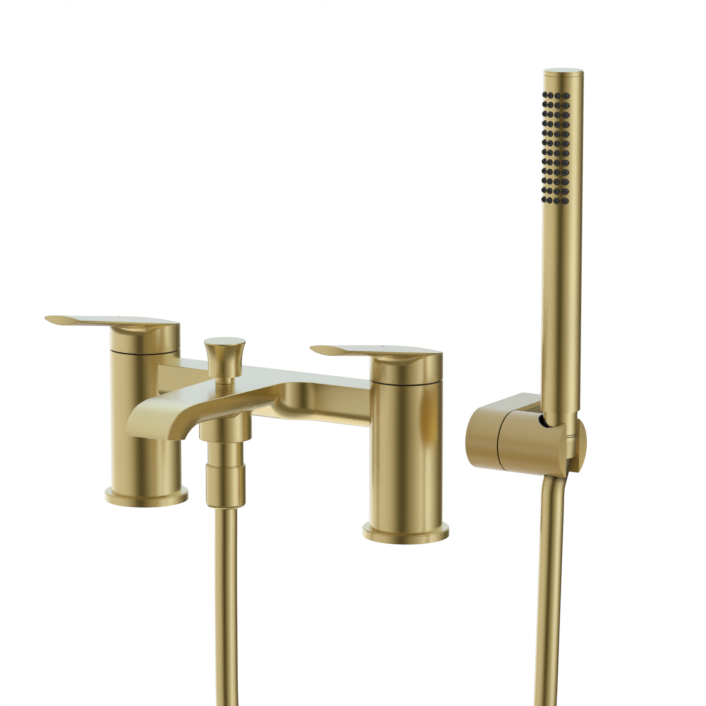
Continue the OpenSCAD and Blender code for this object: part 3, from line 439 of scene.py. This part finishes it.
def make_skirt():
    """Outlet skirt under the spout, with a soft fillet into the underside."""
    sides = 96
    columns = []
    for k in range(sides):
        f = 2 * pi * k / sides
        d = (cos(f), sin(f))
        edge = SPOUT_HALF_AT_SKIRT / max(abs(d[0]), 0.05)
        r = min(SKIRT_FILLETS[1], max(SKIRT_FILLETS[0], FILLET_ROOM * (edge - SKIRT_R)))
        out = SKIRT_R + r
        z_out = underside(d[0] * out, DIVERTER_Y + d[1] * out)
        rows = [
            (SKIRT_BORE, SKIRT_BORE_TOP), (SKIRT_BORE, SKIRT_BOTTOM), (SKIRT_R - SKIRT_RIM, SKIRT_BOTTOM),
            (SKIRT_R - SKIRT_RIM_MIDDLE, SKIRT_BOTTOM + SKIRT_RIM_MIDDLE), (SKIRT_R, SKIRT_BOTTOM + SKIRT_RIM),
        ]
        z_low = z_out - r
        for s in (0.35, 0.7):
            rows.append((SKIRT_R, SKIRT_BOTTOM + SKIRT_RIM + (z_low - SKIRT_BOTTOM - SKIRT_RIM) * s))
        steps = 10
        for s in range(steps + 1):
            a = pi / 2 * s / steps
            rows.append((SKIRT_R + r * (1 - cos(a)), z_low + r * sin(a) + SKIRT_LAP * s / steps))
        rows.append((SKIRT_R + r * SKIRT_SINK_SHARE, z_out + SKIRT_SINK))
        columns.append([(d[0] * q, DIVERTER_Y + d[1] * q, z) for q, z in rows])
    rings = [[column[i] for column in columns] for i in range(len(columns[0]))]
    return skin("diverter_skirt", rings, CASTING_SMOOTH)


# Levers: crowned blade on a round head
PILLAR_X = 90
PILLAR_R = 21
PILLAR_TOP = 91
LEVER_SEAM = 0.8
LEVER_HEAD_H = 16.7
LEVER_BOTTOM = PILLAR_TOP + LEVER_SEAM
LEVER_EDGE_Z = LEVER_BOTTOM + LEVER_HEAD_H
LEVER_REACH = 85.5
LEVER_RISE = 14
LEVER_TIP_W = 25
LEVER_EDGE = 1.4
LEVER_CROWN = 1.5
TIP_CROWN = 1.6
TIP_BELLY = 2.6
LEVER_FILLET = 6
TIP_ROUND = 1.5
LEVER_WALL = 3.5
HUB_COVER = 7.5
LEVER_BORE_TOP = LEVER_EDGE_Z - HUB_COVER
LIP = 0.02
# Rounded edges of the lever: inset from the outline, and height from the face
LEVER_RIM = 0.3
LEVER_RIM_MIDDLE = 0.09
LEVER_HEAD_RING = 5
LOWER_EDGE = ((0.08, 0.1), (0, 0.35))
UPPER_EDGE = ((0, 0.35), (0.08, 0.1), (LEVER_RIM, 0))
CROWN_RINGS = (0.97, 0.93, 0.87, 0.8, 0.7, 0.6, 0.5, 0.4, 0.3, 0.2, 0.1, 0.03)


def lever_half(y):
    return PILLAR_R + (LEVER_TIP_W / 2 - PILLAR_R) * ease(-y / LEVER_REACH)


def lever_z(y):
    return LEVER_EDGE_Z - LEVER_RISE * y / LEVER_REACH


def along(y, head, tip):
    return head + (tip - head) * max(0, -y / LEVER_REACH)


def bulge(x, y):
    if y > 0:
        return 1 - (x * x + y * y) / PILLAR_R**2
    return 1 - (x / lever_half(y)) ** 2


def lever_top(x, y):
    return lever_z(y) + along(y, LEVER_CROWN, TIP_CROWN) * bulge(x, y)


def lever_under(x, y):
    return lever_z(y) - LEVER_EDGE - TIP_BELLY * bulge(x, y)


def lever_outline():
    tip_steps, taper_steps, back_steps = 24, 48, 48
    tip = []
    for i in range(1, tip_steps):
        u = -1 + 2 * i / tip_steps
        tip.append((u * LEVER_TIP_W / 2, -LEVER_REACH + TIP_ROUND * u * u))
    side = []
    for i in range(taper_steps):
        y = -LEVER_REACH + TIP_ROUND + (LEVER_REACH - TIP_ROUND) * i / taper_steps
        side.append((lever_half(y), y))
    turns = [pi * i / back_steps for i in range(back_steps + 1)]
    back = [(PILLAR_R * cos(a), PILLAR_R * sin(a)) for a in turns]
    return tip + side + back + [(-x, y) for x, y in reversed(side)]


def make_lever(name, axis_x):
    outline = lever_outline()

    def circle(r, z):
        return [(r * x / sqrt(x * x + y * y), r * y / sqrt(x * x + y * y), z) for x, y in outline]

    def pulled(p, off):
        length = sqrt(p[0] ** 2 + p[1] ** 2)
        return (p[0] * (1 - off / length), p[1] * (1 - off / length))

    bore = PILLAR_R - LEVER_WALL
    rings = [
        circle(bore, LEVER_BORE_TOP), circle(bore, LEVER_BOTTOM), circle(PILLAR_R - LEVER_RIM, LEVER_BOTTOM),
        circle(PILLAR_R - LEVER_RIM_MIDDLE, LEVER_BOTTOM + LEVER_RIM_MIDDLE),
        circle(PILLAR_R, LEVER_BOTTOM + LEVER_RIM), circle(PILLAR_R, LEVER_BOTTOM + LEVER_HEAD_RING),
    ]
    steps = 12
    for i in range(steps + 1):
        a = pi / 2 * i / steps
        ring = []
        for p in outline:
            length = sqrt(p[0] ** 2 + p[1] ** 2)
            r = min(LEVER_FILLET, max(0, length - PILLAR_R) / 2)
            q = PILLAR_R + LIP * sin(a) + r * (1 - cos(a))
            x, y = p[0] / length * q, p[1] / length * q
            ring.append((x, y, lever_under(x, y) - r * (1 - sin(a))))
        rings.append(ring)
    steps = 10
    for i in range(1, steps + 1):
        ring = []
        for p in outline:
            length = sqrt(p[0] ** 2 + p[1] ** 2)
            r = min(LEVER_FILLET, max(0, length - PILLAR_R) / 2)
            start = PILLAR_R + LIP + r
            q = start + (max(length - LEVER_RIM, start + LIP) - start) * i / steps
            x, y = p[0] / length * q, p[1] / length * q
            ring.append((x, y, lever_under(x, y)))
        rings.append(ring)
    for off, up in LOWER_EDGE:
        rings.append([(*pulled(p, off), lever_under(*p) + up) for p in outline])
    for off, down in UPPER_EDGE:
        rings.append([(*pulled(p, off), lever_top(*p) - down) for p in outline])
    for t in CROWN_RINGS:
        rings.append([(p[0] * t, p[1] * t, lever_top(p[0] * t, p[1] * t)) for p in outline])
    rings = [[(x + axis_x, y, z) for x, y, z in ring] for ring in rings]
    return skin(name, rings, CASTING_SMOOTH)


def even_shading(obj):
    """Normals that follow the large faces, so that flat faces stay flat beside their small edges."""
    even = obj.modifiers.new("even", "WEIGHTED_NORMAL")
    even.keep_sharp = True


bridge = make_bridge()
spout = make_spout()
skirt = make_skirt()
hot_lever = make_lever("hot_lever_blade", -PILLAR_X)
cold_lever = make_lever("cold_lever_blade", PILLAR_X)
for piece, node, body in (
    (bridge, "bridge", "mixer"), (spout, "spout", "mixer"), (skirt, "diverter_body", "mixer"),
    (hot_lever, "hot_lever", "hot_lever"), (cold_lever, "cold_lever", "cold_lever"),
):
    even_shading(piece)
    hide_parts(node)
    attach(piece, body)


# Materials
BRASS = (0.79, 0.617, 0.27, 1)
SATIN_BRASS = (0.8, 0.59, 0.22, 1)
PLAIN_BRASS = (0.55, 0.45, 0.24, 1)
# Painted shade: near-black colour put in bores, grooves and seams where shade falls
BORE_SHADE = (0.012, 0.009, 0.006, 1)
# A face towards -X has a normal past this; such faces in the seam get painted shade
SEAM_SHADE_FACING = -0.95
# Relief of the brushing, in metres, and its strengths
RELIEF = 0.0001
BRUSH_BUMP = 0.0015
HOSE_BUMP = 0.015
# Painted shade: the hose is darkened inside the holder, from these distances before its end
SHADE_FROM, SHADE_TO = 0.0245, 0.0215
SHADE_LEVEL = 0.25
# Brushing: scale of its noise along x, y and z, small along the lines
TURNED = (25, 25, 2600)
ACROSS = (2600, 25, 25)


def fill_ramp(ramp, stops):
    """Set a colour ramp's stops: each has a place and a colour, or a grey level."""
    while len(ramp.elements) < len(stops):
        ramp.elements.new(0.5)
    for element, (place, value) in zip(ramp.elements, stops):
        element.position = place
        element.color = value if isinstance(value, tuple) else (value, value, value, 1)


def shade(colour, factor):
    """Colour made lighter or darker, with full alpha."""
    return tuple(min(1, c * factor) for c in colour[:3]) + (1,)


class Graph:
    """Short hand for a material's node tree."""

    def __init__(self, name):
        self.material = bpy.data.materials.new(name)
        self.material.use_nodes = True
        self.tree = self.material.node_tree
        self.shader = self.tree.nodes["Principled BSDF"]

    def node(self, kind, **values):
        made = self.tree.nodes.new(kind)
        for key, value in values.items():
            if key in made.inputs:
                made.inputs[key].default_value = value
            else:
                setattr(made, key, value)
        return made

    def link(self, a, out, b, into):
        self.tree.links.new(a.outputs[out], b.inputs[into])

    def ramp(self, stops):
        made = self.tree.nodes.new("ShaderNodeValToRGB")
        fill_ramp(made.color_ramp, stops)
        return made

    def multiply(self, a, b):
        """Product of two colour outputs."""
        mix = self.node("ShaderNodeMix", data_type="RGBA", blend_type="MULTIPLY")
        mix.inputs["Factor"].default_value = 1
        self.tree.links.new(a, mix.inputs["A"])
        self.tree.links.new(b, mix.inputs["B"])
        return mix

    def fade(self, value, low, high, at_low, at_high):
        """Value that goes from at_low to at_high as the input goes from low to high."""
        made = self.node("ShaderNodeMapRange")
        for key, number in (("From Min", low), ("From Max", high), ("To Min", at_low), ("To Max", at_high)):
            made.inputs[key].default_value = number
        self.tree.links.new(value, made.inputs["Value"])
        return made


def brushed(name, stretch, colour=BRASS, rough=(0.25, 0.275), coat=0.25, bore=None, seam=False, rise=None):
    """Brushed brass: fine lines along one direction, with a slow drift of tone; at will also painted shade in
    a bore and seam, and painted light and shade by height.
    """
    g = Graph(name)
    where = g.node("ShaderNodeTexCoord")
    fine = g.node("ShaderNodeMapping")
    fine.inputs["Scale"].default_value = stretch
    g.link(where, "Object", fine, "Vector")
    lines = g.node("ShaderNodeTexNoise", Scale=1.0, Detail=3.0, Roughness=0.6)
    g.link(fine, "Vector", lines, "Vector")
    cloud = g.node("ShaderNodeTexNoise", Scale=22.0, Detail=2.0, Roughness=0.5)
    g.link(where, "Object", cloud, "Vector")
    tone = g.ramp([(0.3, shade(colour, 0.95)), (0.7, shade(colour, 1.04))])
    g.link(cloud, "Fac", tone, "Fac")
    streak = g.ramp([(0.25, 0.985), (0.75, 1.0)])
    g.link(lines, "Fac", streak, "Fac")
    mix = g.multiply(tone.outputs["Color"], streak.outputs["Color"])
    if rise:
        mix = paint_height_light(g, where, mix, rise)
    g.tree.links.new(mix.outputs["Result"], g.shader.inputs["Base Color"])
    if bore:
        paint_bore_shade(g, where, mix, bore, seam)
    spread = g.ramp([(0.25, rough[0]), (0.75, rough[1])])
    g.link(lines, "Fac", spread, "Fac")
    g.link(spread, "Color", g.shader, "Roughness")
    relief = g.node("ShaderNodeBump", Strength=BRUSH_BUMP, Distance=RELIEF)
    g.link(lines, "Fac", relief, "Height")
    g.link(relief, "Normal", g.shader, "Normal")
    lacquer(g, coat)
    return g.material


def paint_height_light(g, where, tone, rise):
    """Painted light and shade: tone that changes with height; rise has a low and a high height, and the gain
    at each.
    """
    place = g.node("ShaderNodeSeparateXYZ")
    g.link(where, "Object", place, "Vector")
    gain = g.fade(place.outputs["Z"], *rise)
    return g.multiply(tone.outputs["Result"], gain.outputs["Result"])


def paint_bore_shade(g, where, tone, bore, seam):
    """Painted shade: near-black colour inside an upright round hole, and in a seam on faces towards -X.

    bore has the hole's x, y and radius, and the shaded part's largest x and least height."""
    def test(operation, a, b):
        made = g.node("ShaderNodeMath", operation=operation)
        for socket, value in zip(made.inputs, (a, b)):
            if isinstance(value, float):
                socket.default_value = value
            else:
                g.tree.links.new(value, socket)
        return made.outputs["Value"]

    x, y, radius, right, low = bore
    flat = g.node("ShaderNodeMapping")
    flat.inputs["Location"].default_value = (-x, -y, 0)
    flat.inputs["Scale"].default_value = (1, 1, 0)
    g.link(where, "Object", flat, "Vector")
    reach = g.node("ShaderNodeVectorMath", operation="LENGTH")
    g.link(flat, "Vector", reach, "Vector")
    place = g.node("ShaderNodeSeparateXYZ")
    g.link(where, "Object", place, "Vector")
    near = test("LESS_THAN", reach.outputs["Value"], radius)
    left = test("LESS_THAN", place.outputs["X"], right)
    above = test("GREATER_THAN", place.outputs["Z"], low)
    hole = test("MULTIPLY", near, test("MULTIPLY", left, above))
    if seam:
        facing = g.node("ShaderNodeSeparateXYZ")
        g.link(g.node("ShaderNodeNewGeometry"), "True Normal", facing, "Vector")
        hole = test("MAXIMUM", hole, test("LESS_THAN", facing.outputs["X"], SEAM_SHADE_FACING))
    dark = g.node("ShaderNodeMix", data_type="RGBA")
    dark.inputs["B"].default_value = BORE_SHADE
    g.tree.links.new(hole, dark.inputs["Factor"])
    g.tree.links.new(tone.outputs["Result"], dark.inputs["A"])
    g.tree.links.new(dark.outputs["Result"], g.shader.inputs["Base Color"])


def lacquer(g, coat):
    """Clear coat over metal, which turns grazing edges pale."""
    g.shader.inputs["Metallic"].default_value = 1
    g.shader.inputs["Coat Weight"].default_value = coat
    g.shader.inputs["Coat IOR"].default_value = 1.6
    g.shader.inputs["Coat Roughness"].default_value = 0.25


def grained(name, colour, rough, grain=900.0, bump=0.15, specular=0.5):
    """Moulded rubber, plastic or ceramic with a fine grain."""
    g = Graph(name)
    where = g.node("ShaderNodeTexCoord")
    noise = g.node("ShaderNodeTexNoise", Scale=grain, Detail=3.0, Roughness=0.6)
    g.link(where, "Object", noise, "Vector")
    tone = g.ramp([(0.3, shade(colour, 0.85)), (0.7, shade(colour, 1.12))])
    g.link(noise, "Fac", tone, "Fac")
    g.link(tone, "Color", g.shader, "Base Color")
    spread = g.ramp([(0.3, max(0.05, rough - 0.06)), (0.7, rough + 0.06)])
    g.link(noise, "Fac", spread, "Fac")
    g.link(spread, "Color", g.shader, "Roughness")
    relief = g.node("ShaderNodeBump", Strength=bump, Distance=RELIEF)
    g.link(noise, "Fac", relief, "Height")
    g.link(relief, "Normal", g.shader, "Normal")
    g.shader.inputs["Specular IOR Level"].default_value = specular
    return g.material


def hose_material():
    """Smooth metallic hose skin with faint lines along it, and painted shade on its last stretch inside the
    holder.
    """
    g = Graph("hose_skin")
    where = g.node("ShaderNodeTexCoord")
    fine = g.node("ShaderNodeMapping")
    fine.inputs["Scale"].default_value = (40, 60, 1)
    g.link(where, "UV", fine, "Vector")
    lines = g.node("ShaderNodeTexNoise", Scale=1.0, Detail=3.0, Roughness=0.55)
    g.link(fine, "Vector", lines, "Vector")
    tone = g.ramp([(0.25, shade(BRASS, 0.94)), (0.75, BRASS)])
    g.link(lines, "Fac", tone, "Fac")
    along = g.node("ShaderNodeSeparateXYZ")
    g.link(where, "UV", along, "Vector")
    # Painted shade where the hose runs inside the holder
    end = len(hose_path) * HOSE_STEP
    hose_shade = g.fade(along.outputs["X"], end - SHADE_FROM, end - SHADE_TO, 1, SHADE_LEVEL)
    mix = g.multiply(tone.outputs["Color"], hose_shade.outputs["Result"])
    g.tree.links.new(mix.outputs["Result"], g.shader.inputs["Base Color"])
    spread = g.ramp([(0.25, 0.22), (0.75, 0.27)])
    g.link(lines, "Fac", spread, "Fac")
    g.link(spread, "Color", g.shader, "Roughness")
    relief = g.node("ShaderNodeBump", Strength=HOSE_BUMP, Distance=RELIEF)
    g.link(lines, "Fac", relief, "Height")
    g.link(relief, "Normal", g.shader, "Normal")
    lacquer(g, 0.25)
    return g.material


upright = brushed("brass_turned", TURNED)
lengthways = brushed("brass_along_bridge", (25, 2200, 2200), coat=0.5)
forward = brushed("brass_along_spout", (2200, 25, 400), coat=0.5)
# Satin brass of the bracket; rise paints light and shade on it by height, brighter below 45 mm and darker
# above 80 mm
SATIN = {
    "stretch": ACROSS, "colour": SATIN_BRASS, "rough": (0.68, 0.74), "coat": 1,
    "rise": (0.045, 0.08, 1.4, 0.88),
}
crosswise = brushed("brass_round_cover", **SATIN)
# Painted shade: near-black in the holder's bore and on its faces towards -X in the seam, and in the neck's
# grooves
HOLDER_BORE_SHADE = (0.1928, -0.0095, 0.0104, 0.1928, 0.06)
NECK_GROOVE_SHADE = (0.194, -0.008, 0.0094, 1.0, 0.06)
holder_skin = brushed("brass_round_holder", bore=HOLDER_BORE_SHADE, seam=True, **SATIN)
neck_skin = brushed("brass_neck", TURNED, bore=NECK_GROOVE_SHADE)
inner = brushed("brass_plain", (300, 300, 300), PLAIN_BRASS, (0.32, 0.42))
rubber = grained("rubber_black", (0.018, 0.018, 0.02), 0.6)
nozzle = grained("rubber_nozzle", (0.045, 0.046, 0.044), 0.4, 1400.0)
plastic = grained("plastic_dark", (0.03, 0.03, 0.032), 0.45)
ceramic = grained("ceramic_disc", (0.82, 0.82, 0.8), 0.2, 500.0, 0.03)
red = grained("index_red", (0.45, 0.012, 0.01), 0.5, 700.0, 0.05, 0.0)
blue = grained("index_blue", (0.01, 0.025, 0.2), 0.5, 700.0, 0.05, 0.0)
hose_skin = hose_material()


def paint(obj, material):
    if obj.material_slots:
        for place in obj.material_slots:
            place.material = material
    else:
        obj.data.materials.append(material)


FINISH = {
    "flow_straightener": plastic, "nipple_washer": rubber, "mixer_ferrule": inner,
    "hot_gasket": rubber, "cold_gasket": rubber, "hot_cartridge": inner, "cold_cartridge": inner,
    "hot_seat_seal": rubber, "cold_seat_seal": rubber,
    "hot_fixed_disc": ceramic, "cold_fixed_disc": ceramic,
    "hot_slip_ring": plastic, "cold_slip_ring": plastic, "hot_hub": plastic, "cold_hub": plastic,
    "hot_index": red, "cold_index": blue, "hot_grub_screw": inner, "cold_grub_screw": inner,
    "hot_spindle": inner, "cold_spindle": inner, "hot_turning_disc": ceramic, "cold_turning_disc": ceramic,
    "diverter_rod": inner, "diverter_disc": inner, "diverter_seals": rubber,
    "bracket_cover": crosswise, "bracket_core": inner, "cover_screw": inner, "bracket_holder": holder_skin,
    "pivot_bolt": inner, "friction_washer": plastic, "spray_carrier": plastic, "nozzle_strip": nozzle,
    "inlet_washer": rubber, "handset_ferrule": inner, "handset_neck": neck_skin, "hose_tie": rubber,
}
for name, obj in nodes.items():
    paint(obj, FINISH.get(name, upright))
for obj, material in (
    (bridge, lengthways), (spout, forward), (skirt, upright), (hot_lever, forward), (cold_lever, forward),
    (hose, hose_skin), (hose_end, hose_skin),
):
    paint(obj, material)

# Small rounded rims on the machined parts that show
RIMS = {
    "hot_pillar": 0.3, "cold_pillar": 0.3, "hot_flange": 0.35, "cold_flange": 0.35,
    "mixer_hose_nut": 0.25, "hose_nipple": 0.25, "diverter_knob": 0.22, "diverter_bush": 0.15,
    "handset_tube": 0.2, "handset_cap": 0.25, "handset_neck": 0.05, "cone_nut": 0.05,
    "bracket_cover": 0.12, "bracket_holder": 0.06, "bracket_core": 0.2, "hose_tie": 0.4, "nozzle_strip": 0.4,
}
RIM_ANGLE = radians(50)
for name, width in RIMS.items():
    bevel = nodes[name].modifiers.new("rim", "BEVEL")
    bevel.width = width * MM
    bevel.segments = 2
    bevel.limit_method = "ANGLE"
    bevel.angle_limit = RIM_ANGLE
    bevel.harden_normals = True


# Floor and light
FLOOR_R = 340
FLOOR_CENTRE = (-50, 170)
FLOOR_DROP = 1
FLOOR_SIDES = 96
FLOOR_GREY = (0.36, 0.36, 0.36, 1)
FLOOR_GLOW = 0.8
# In reflections the glow fades along x, in metres, from full to a share of it
GLOW_FADE = (-0.14, 0.06, 1, 0.2)


def make_floor():
    """Pale floor, white to the eye; in metal its left side is bright and the rest is dim."""
    z = CAD_LOW.z / MM - FLOOR_DROP
    turns = [2 * pi * k / FLOOR_SIDES for k in range(FLOOR_SIDES)]
    ring = [(FLOOR_CENTRE[0] + FLOOR_R * cos(a), FLOOR_CENTRE[1] + FLOOR_R * sin(a), z) for a in turns]
    floor = new_mesh("floor", ring, [tuple(range(FLOOR_SIDES))])
    g = Graph("floor_white")
    g.shader.inputs["Base Color"].default_value = FLOOR_GREY
    g.shader.inputs["Roughness"].default_value = 0.9
    g.shader.inputs["Specular IOR Level"].default_value = 0
    seen = g.node("ShaderNodeLightPath")
    through = g.node("ShaderNodeMath", operation="MAXIMUM")
    g.link(seen, "Is Glossy Ray", through, 0)
    g.link(seen, "Is Transmission Ray", through, 1)
    place = g.node("ShaderNodeSeparateXYZ")
    g.link(g.node("ShaderNodeTexCoord"), "Object", place, "Vector")
    side = g.fade(place.outputs["X"], *GLOW_FADE)
    mirrored = g.node("ShaderNodeMath", operation="MULTIPLY")
    g.link(through, "Value", mirrored, 0)
    g.link(side, "Result", mirrored, 1)
    pick = g.node("ShaderNodeMath", operation="MAXIMUM")
    g.link(seen, "Is Camera Ray", pick, 0)
    g.link(mirrored, "Value", pick, 1)
    level = g.node("ShaderNodeMath", operation="MULTIPLY")
    g.link(pick, "Value", level, 0)
    level.inputs[1].default_value = FLOOR_GLOW
    glow = g.node("ShaderNodeEmission")
    g.link(level, "Value", glow, "Strength")
    both = g.node("ShaderNodeAddShader")
    g.tree.links.new(g.shader.outputs[0], both.inputs[0])
    g.tree.links.new(glow.outputs[0], both.inputs[1])
    g.tree.links.new(both.outputs[0], g.tree.nodes["Material Output"].inputs["Surface"])
    floor.data.materials.append(g.material)


# Brightness of the studio round the object, by bearing in degrees from the front, below the horizon
LOW_WALLS = [
    (-180, 0.25), (-165, 0.5), (-150, 0.72), (-125, 1.0), (-113, 1.05), (-88, 0.8), (-68, 0.76),
    (-53, 0.76), (-38, 0.74), (-26, 0.68), (-10, 0.5), (0, 0.26), (10, 0.09), (20, 0.05), (28, 0.11),
    (34, 0.2), (43, 0.34), (52, 0.45), (61, 0.56), (72, 0.76), (83, 0.98), (95, 1.08), (108, 1.0),
    (122, 0.68), (142, 0.3), (160, 0.12), (175, 0.1), (180, 0.25),
]
# The walls above the horizon also have a share of cool sky light
MIDDLE_WALLS = [
    (-180, 0.85, 1), (-120, 0.85, 1), (-100, 0.6, 0.5), (-75, 0.35, 0), (-45, 0.25, 0), (0, 0.08, 0),
    (60, 0.15, 0), (90, 0.4, 0), (110, 0.7, 0.5), (130, 0.85, 1), (180, 0.85, 1),
]
UPPER_WALLS = [
    (-180, 1, 1), (-120, 1, 1), (-90, 0.92, 0.6), (-60, 0.82, 0.3), (-31, 0.75, 0), (-10, 0.6, 0),
    (5, 0.4, 0), (31, 0.3, 0), (60, 0.4, 0), (90, 0.8, 0.5), (120, 0.9, 1), (180, 1, 1),
]
COOL = (0.84, 1.04, 1.36)
# Heights of the view direction between which one level changes into the next
GROUND_TO_LOW = (-0.5, -0.3)
LOW_TO_MIDDLE = (0.0, 0.1)
MIDDLE_TO_UPPER = (0.22, 0.34)
UPPER_TO_TOP = (0.6, 0.85)


def studio(level, cool=0):
    """Half the light of a wall: dark walls are warm, bright walls white, and sky light is cool."""
    warm = (1, 0.85 + 0.25 * level, 0.4 + 0.95 * level)
    return tuple(level / 2 * (w + (c - w) * cool) for w, c in zip(warm, COOL)) + (1,)


def make_world():
    world = bpy.data.worlds.new("studio")
    bpy.context.scene.world = world
    world.use_nodes = True
    tree = world.node_tree
    tree.nodes.clear()

    def node(kind, **values):
        made = tree.nodes.new(kind)
        for key, value in values.items():
            setattr(made, key, value)
        return made

    where = node("ShaderNodeTexCoord")
    split = node("ShaderNodeSeparateXYZ")
    tree.links.new(where.outputs["Generated"], split.inputs[0])
    back = node("ShaderNodeMath", operation="MULTIPLY")
    back.inputs[1].default_value = -1
    tree.links.new(split.outputs["Y"], back.inputs[0])
    bearing = node("ShaderNodeMath", operation="ARCTAN2")
    tree.links.new(split.outputs["X"], bearing.inputs[0])
    tree.links.new(back.outputs[0], bearing.inputs[1])
    place = node("ShaderNodeMapRange")
    place.inputs["From Min"].default_value = -pi
    place.inputs["From Max"].default_value = pi
    tree.links.new(bearing.outputs[0], place.inputs["Value"])

    def ring_of_walls(stops):
        walls = node("ShaderNodeValToRGB")
        walls.color_ramp.interpolation = "EASE"
        fill_ramp(walls.color_ramp, [((degrees + 180) / 360, studio(*light)) for degrees, *light in stops])
        tree.links.new(place.outputs["Result"], walls.inputs["Fac"])
        return walls

    low = ring_of_walls(LOW_WALLS)
    middle = ring_of_walls(MIDDLE_WALLS)
    high = ring_of_walls(UPPER_WALLS)

    def layer(start, end, below, above):
        """Blend of two levels between two heights of the view direction."""
        rise = node("ShaderNodeMapRange")
        rise.inputs["From Min"].default_value = start
        rise.inputs["From Max"].default_value = end
        tree.links.new(split.outputs["Z"], rise.inputs["Value"])
        mix = node("ShaderNodeMix", data_type="RGBA")
        tree.links.new(rise.outputs["Result"], mix.inputs["Factor"])
        for socket, source in (("A", below), ("B", above)):
            if isinstance(source, tuple):
                mix.inputs[socket].default_value = source
            else:
                tree.links.new(source, mix.inputs[socket])
        return mix.outputs["Result"]

    walls = layer(*LOW_TO_MIDDLE, low.outputs["Color"], middle.outputs["Color"])
    walls = layer(*MIDDLE_TO_UPPER, walls, high.outputs["Color"])
    walls = layer(*UPPER_TO_TOP, walls, studio(0.8, 0.5))
    walls = layer(*GROUND_TO_LOW, studio(0.2), walls)
    seen = node("ShaderNodeLightPath")
    white = node("ShaderNodeMath", operation="MAXIMUM")
    tree.links.new(seen.outputs["Is Camera Ray"], white.inputs[0])
    tree.links.new(seen.outputs["Is Transmission Ray"], white.inputs[1])
    pick = node("ShaderNodeMix", data_type="RGBA")
    tree.links.new(white.outputs[0], pick.inputs["Factor"])
    tree.links.new(walls, pick.inputs["A"])
    pick.inputs["B"].default_value = (0.5, 0.5, 0.5, 1)
    light = node("ShaderNodeBackground")
    light.inputs["Strength"].default_value = 2
    tree.links.new(pick.outputs["Result"], light.inputs["Color"])
    out = node("ShaderNodeOutputWorld")
    tree.links.new(light.outputs[0], out.inputs["Surface"])


def make_lamp(name, place, aim, size, power):
    data = bpy.data.lights.new(name, "AREA")
    data.shape = "DISK"
    data.size = size
    data.energy = power
    lamp = bpy.data.objects.new(name, data)
    bpy.context.collection.objects.link(lamp)
    lamp.visible_glossy = False
    lamp.location = place
    lamp.rotation_mode = "QUATERNION"
    lamp.rotation_quaternion = (Vector(aim) - Vector(place)).to_track_quat("-Z", "Y")


make_floor()
make_world()
make_lamp("soft_top", (-0.4, -0.5, 1.7), (0.07, -0.02, 0), 1.4, 9)

bpy.context.scene.view_settings.view_transform = "Standard"
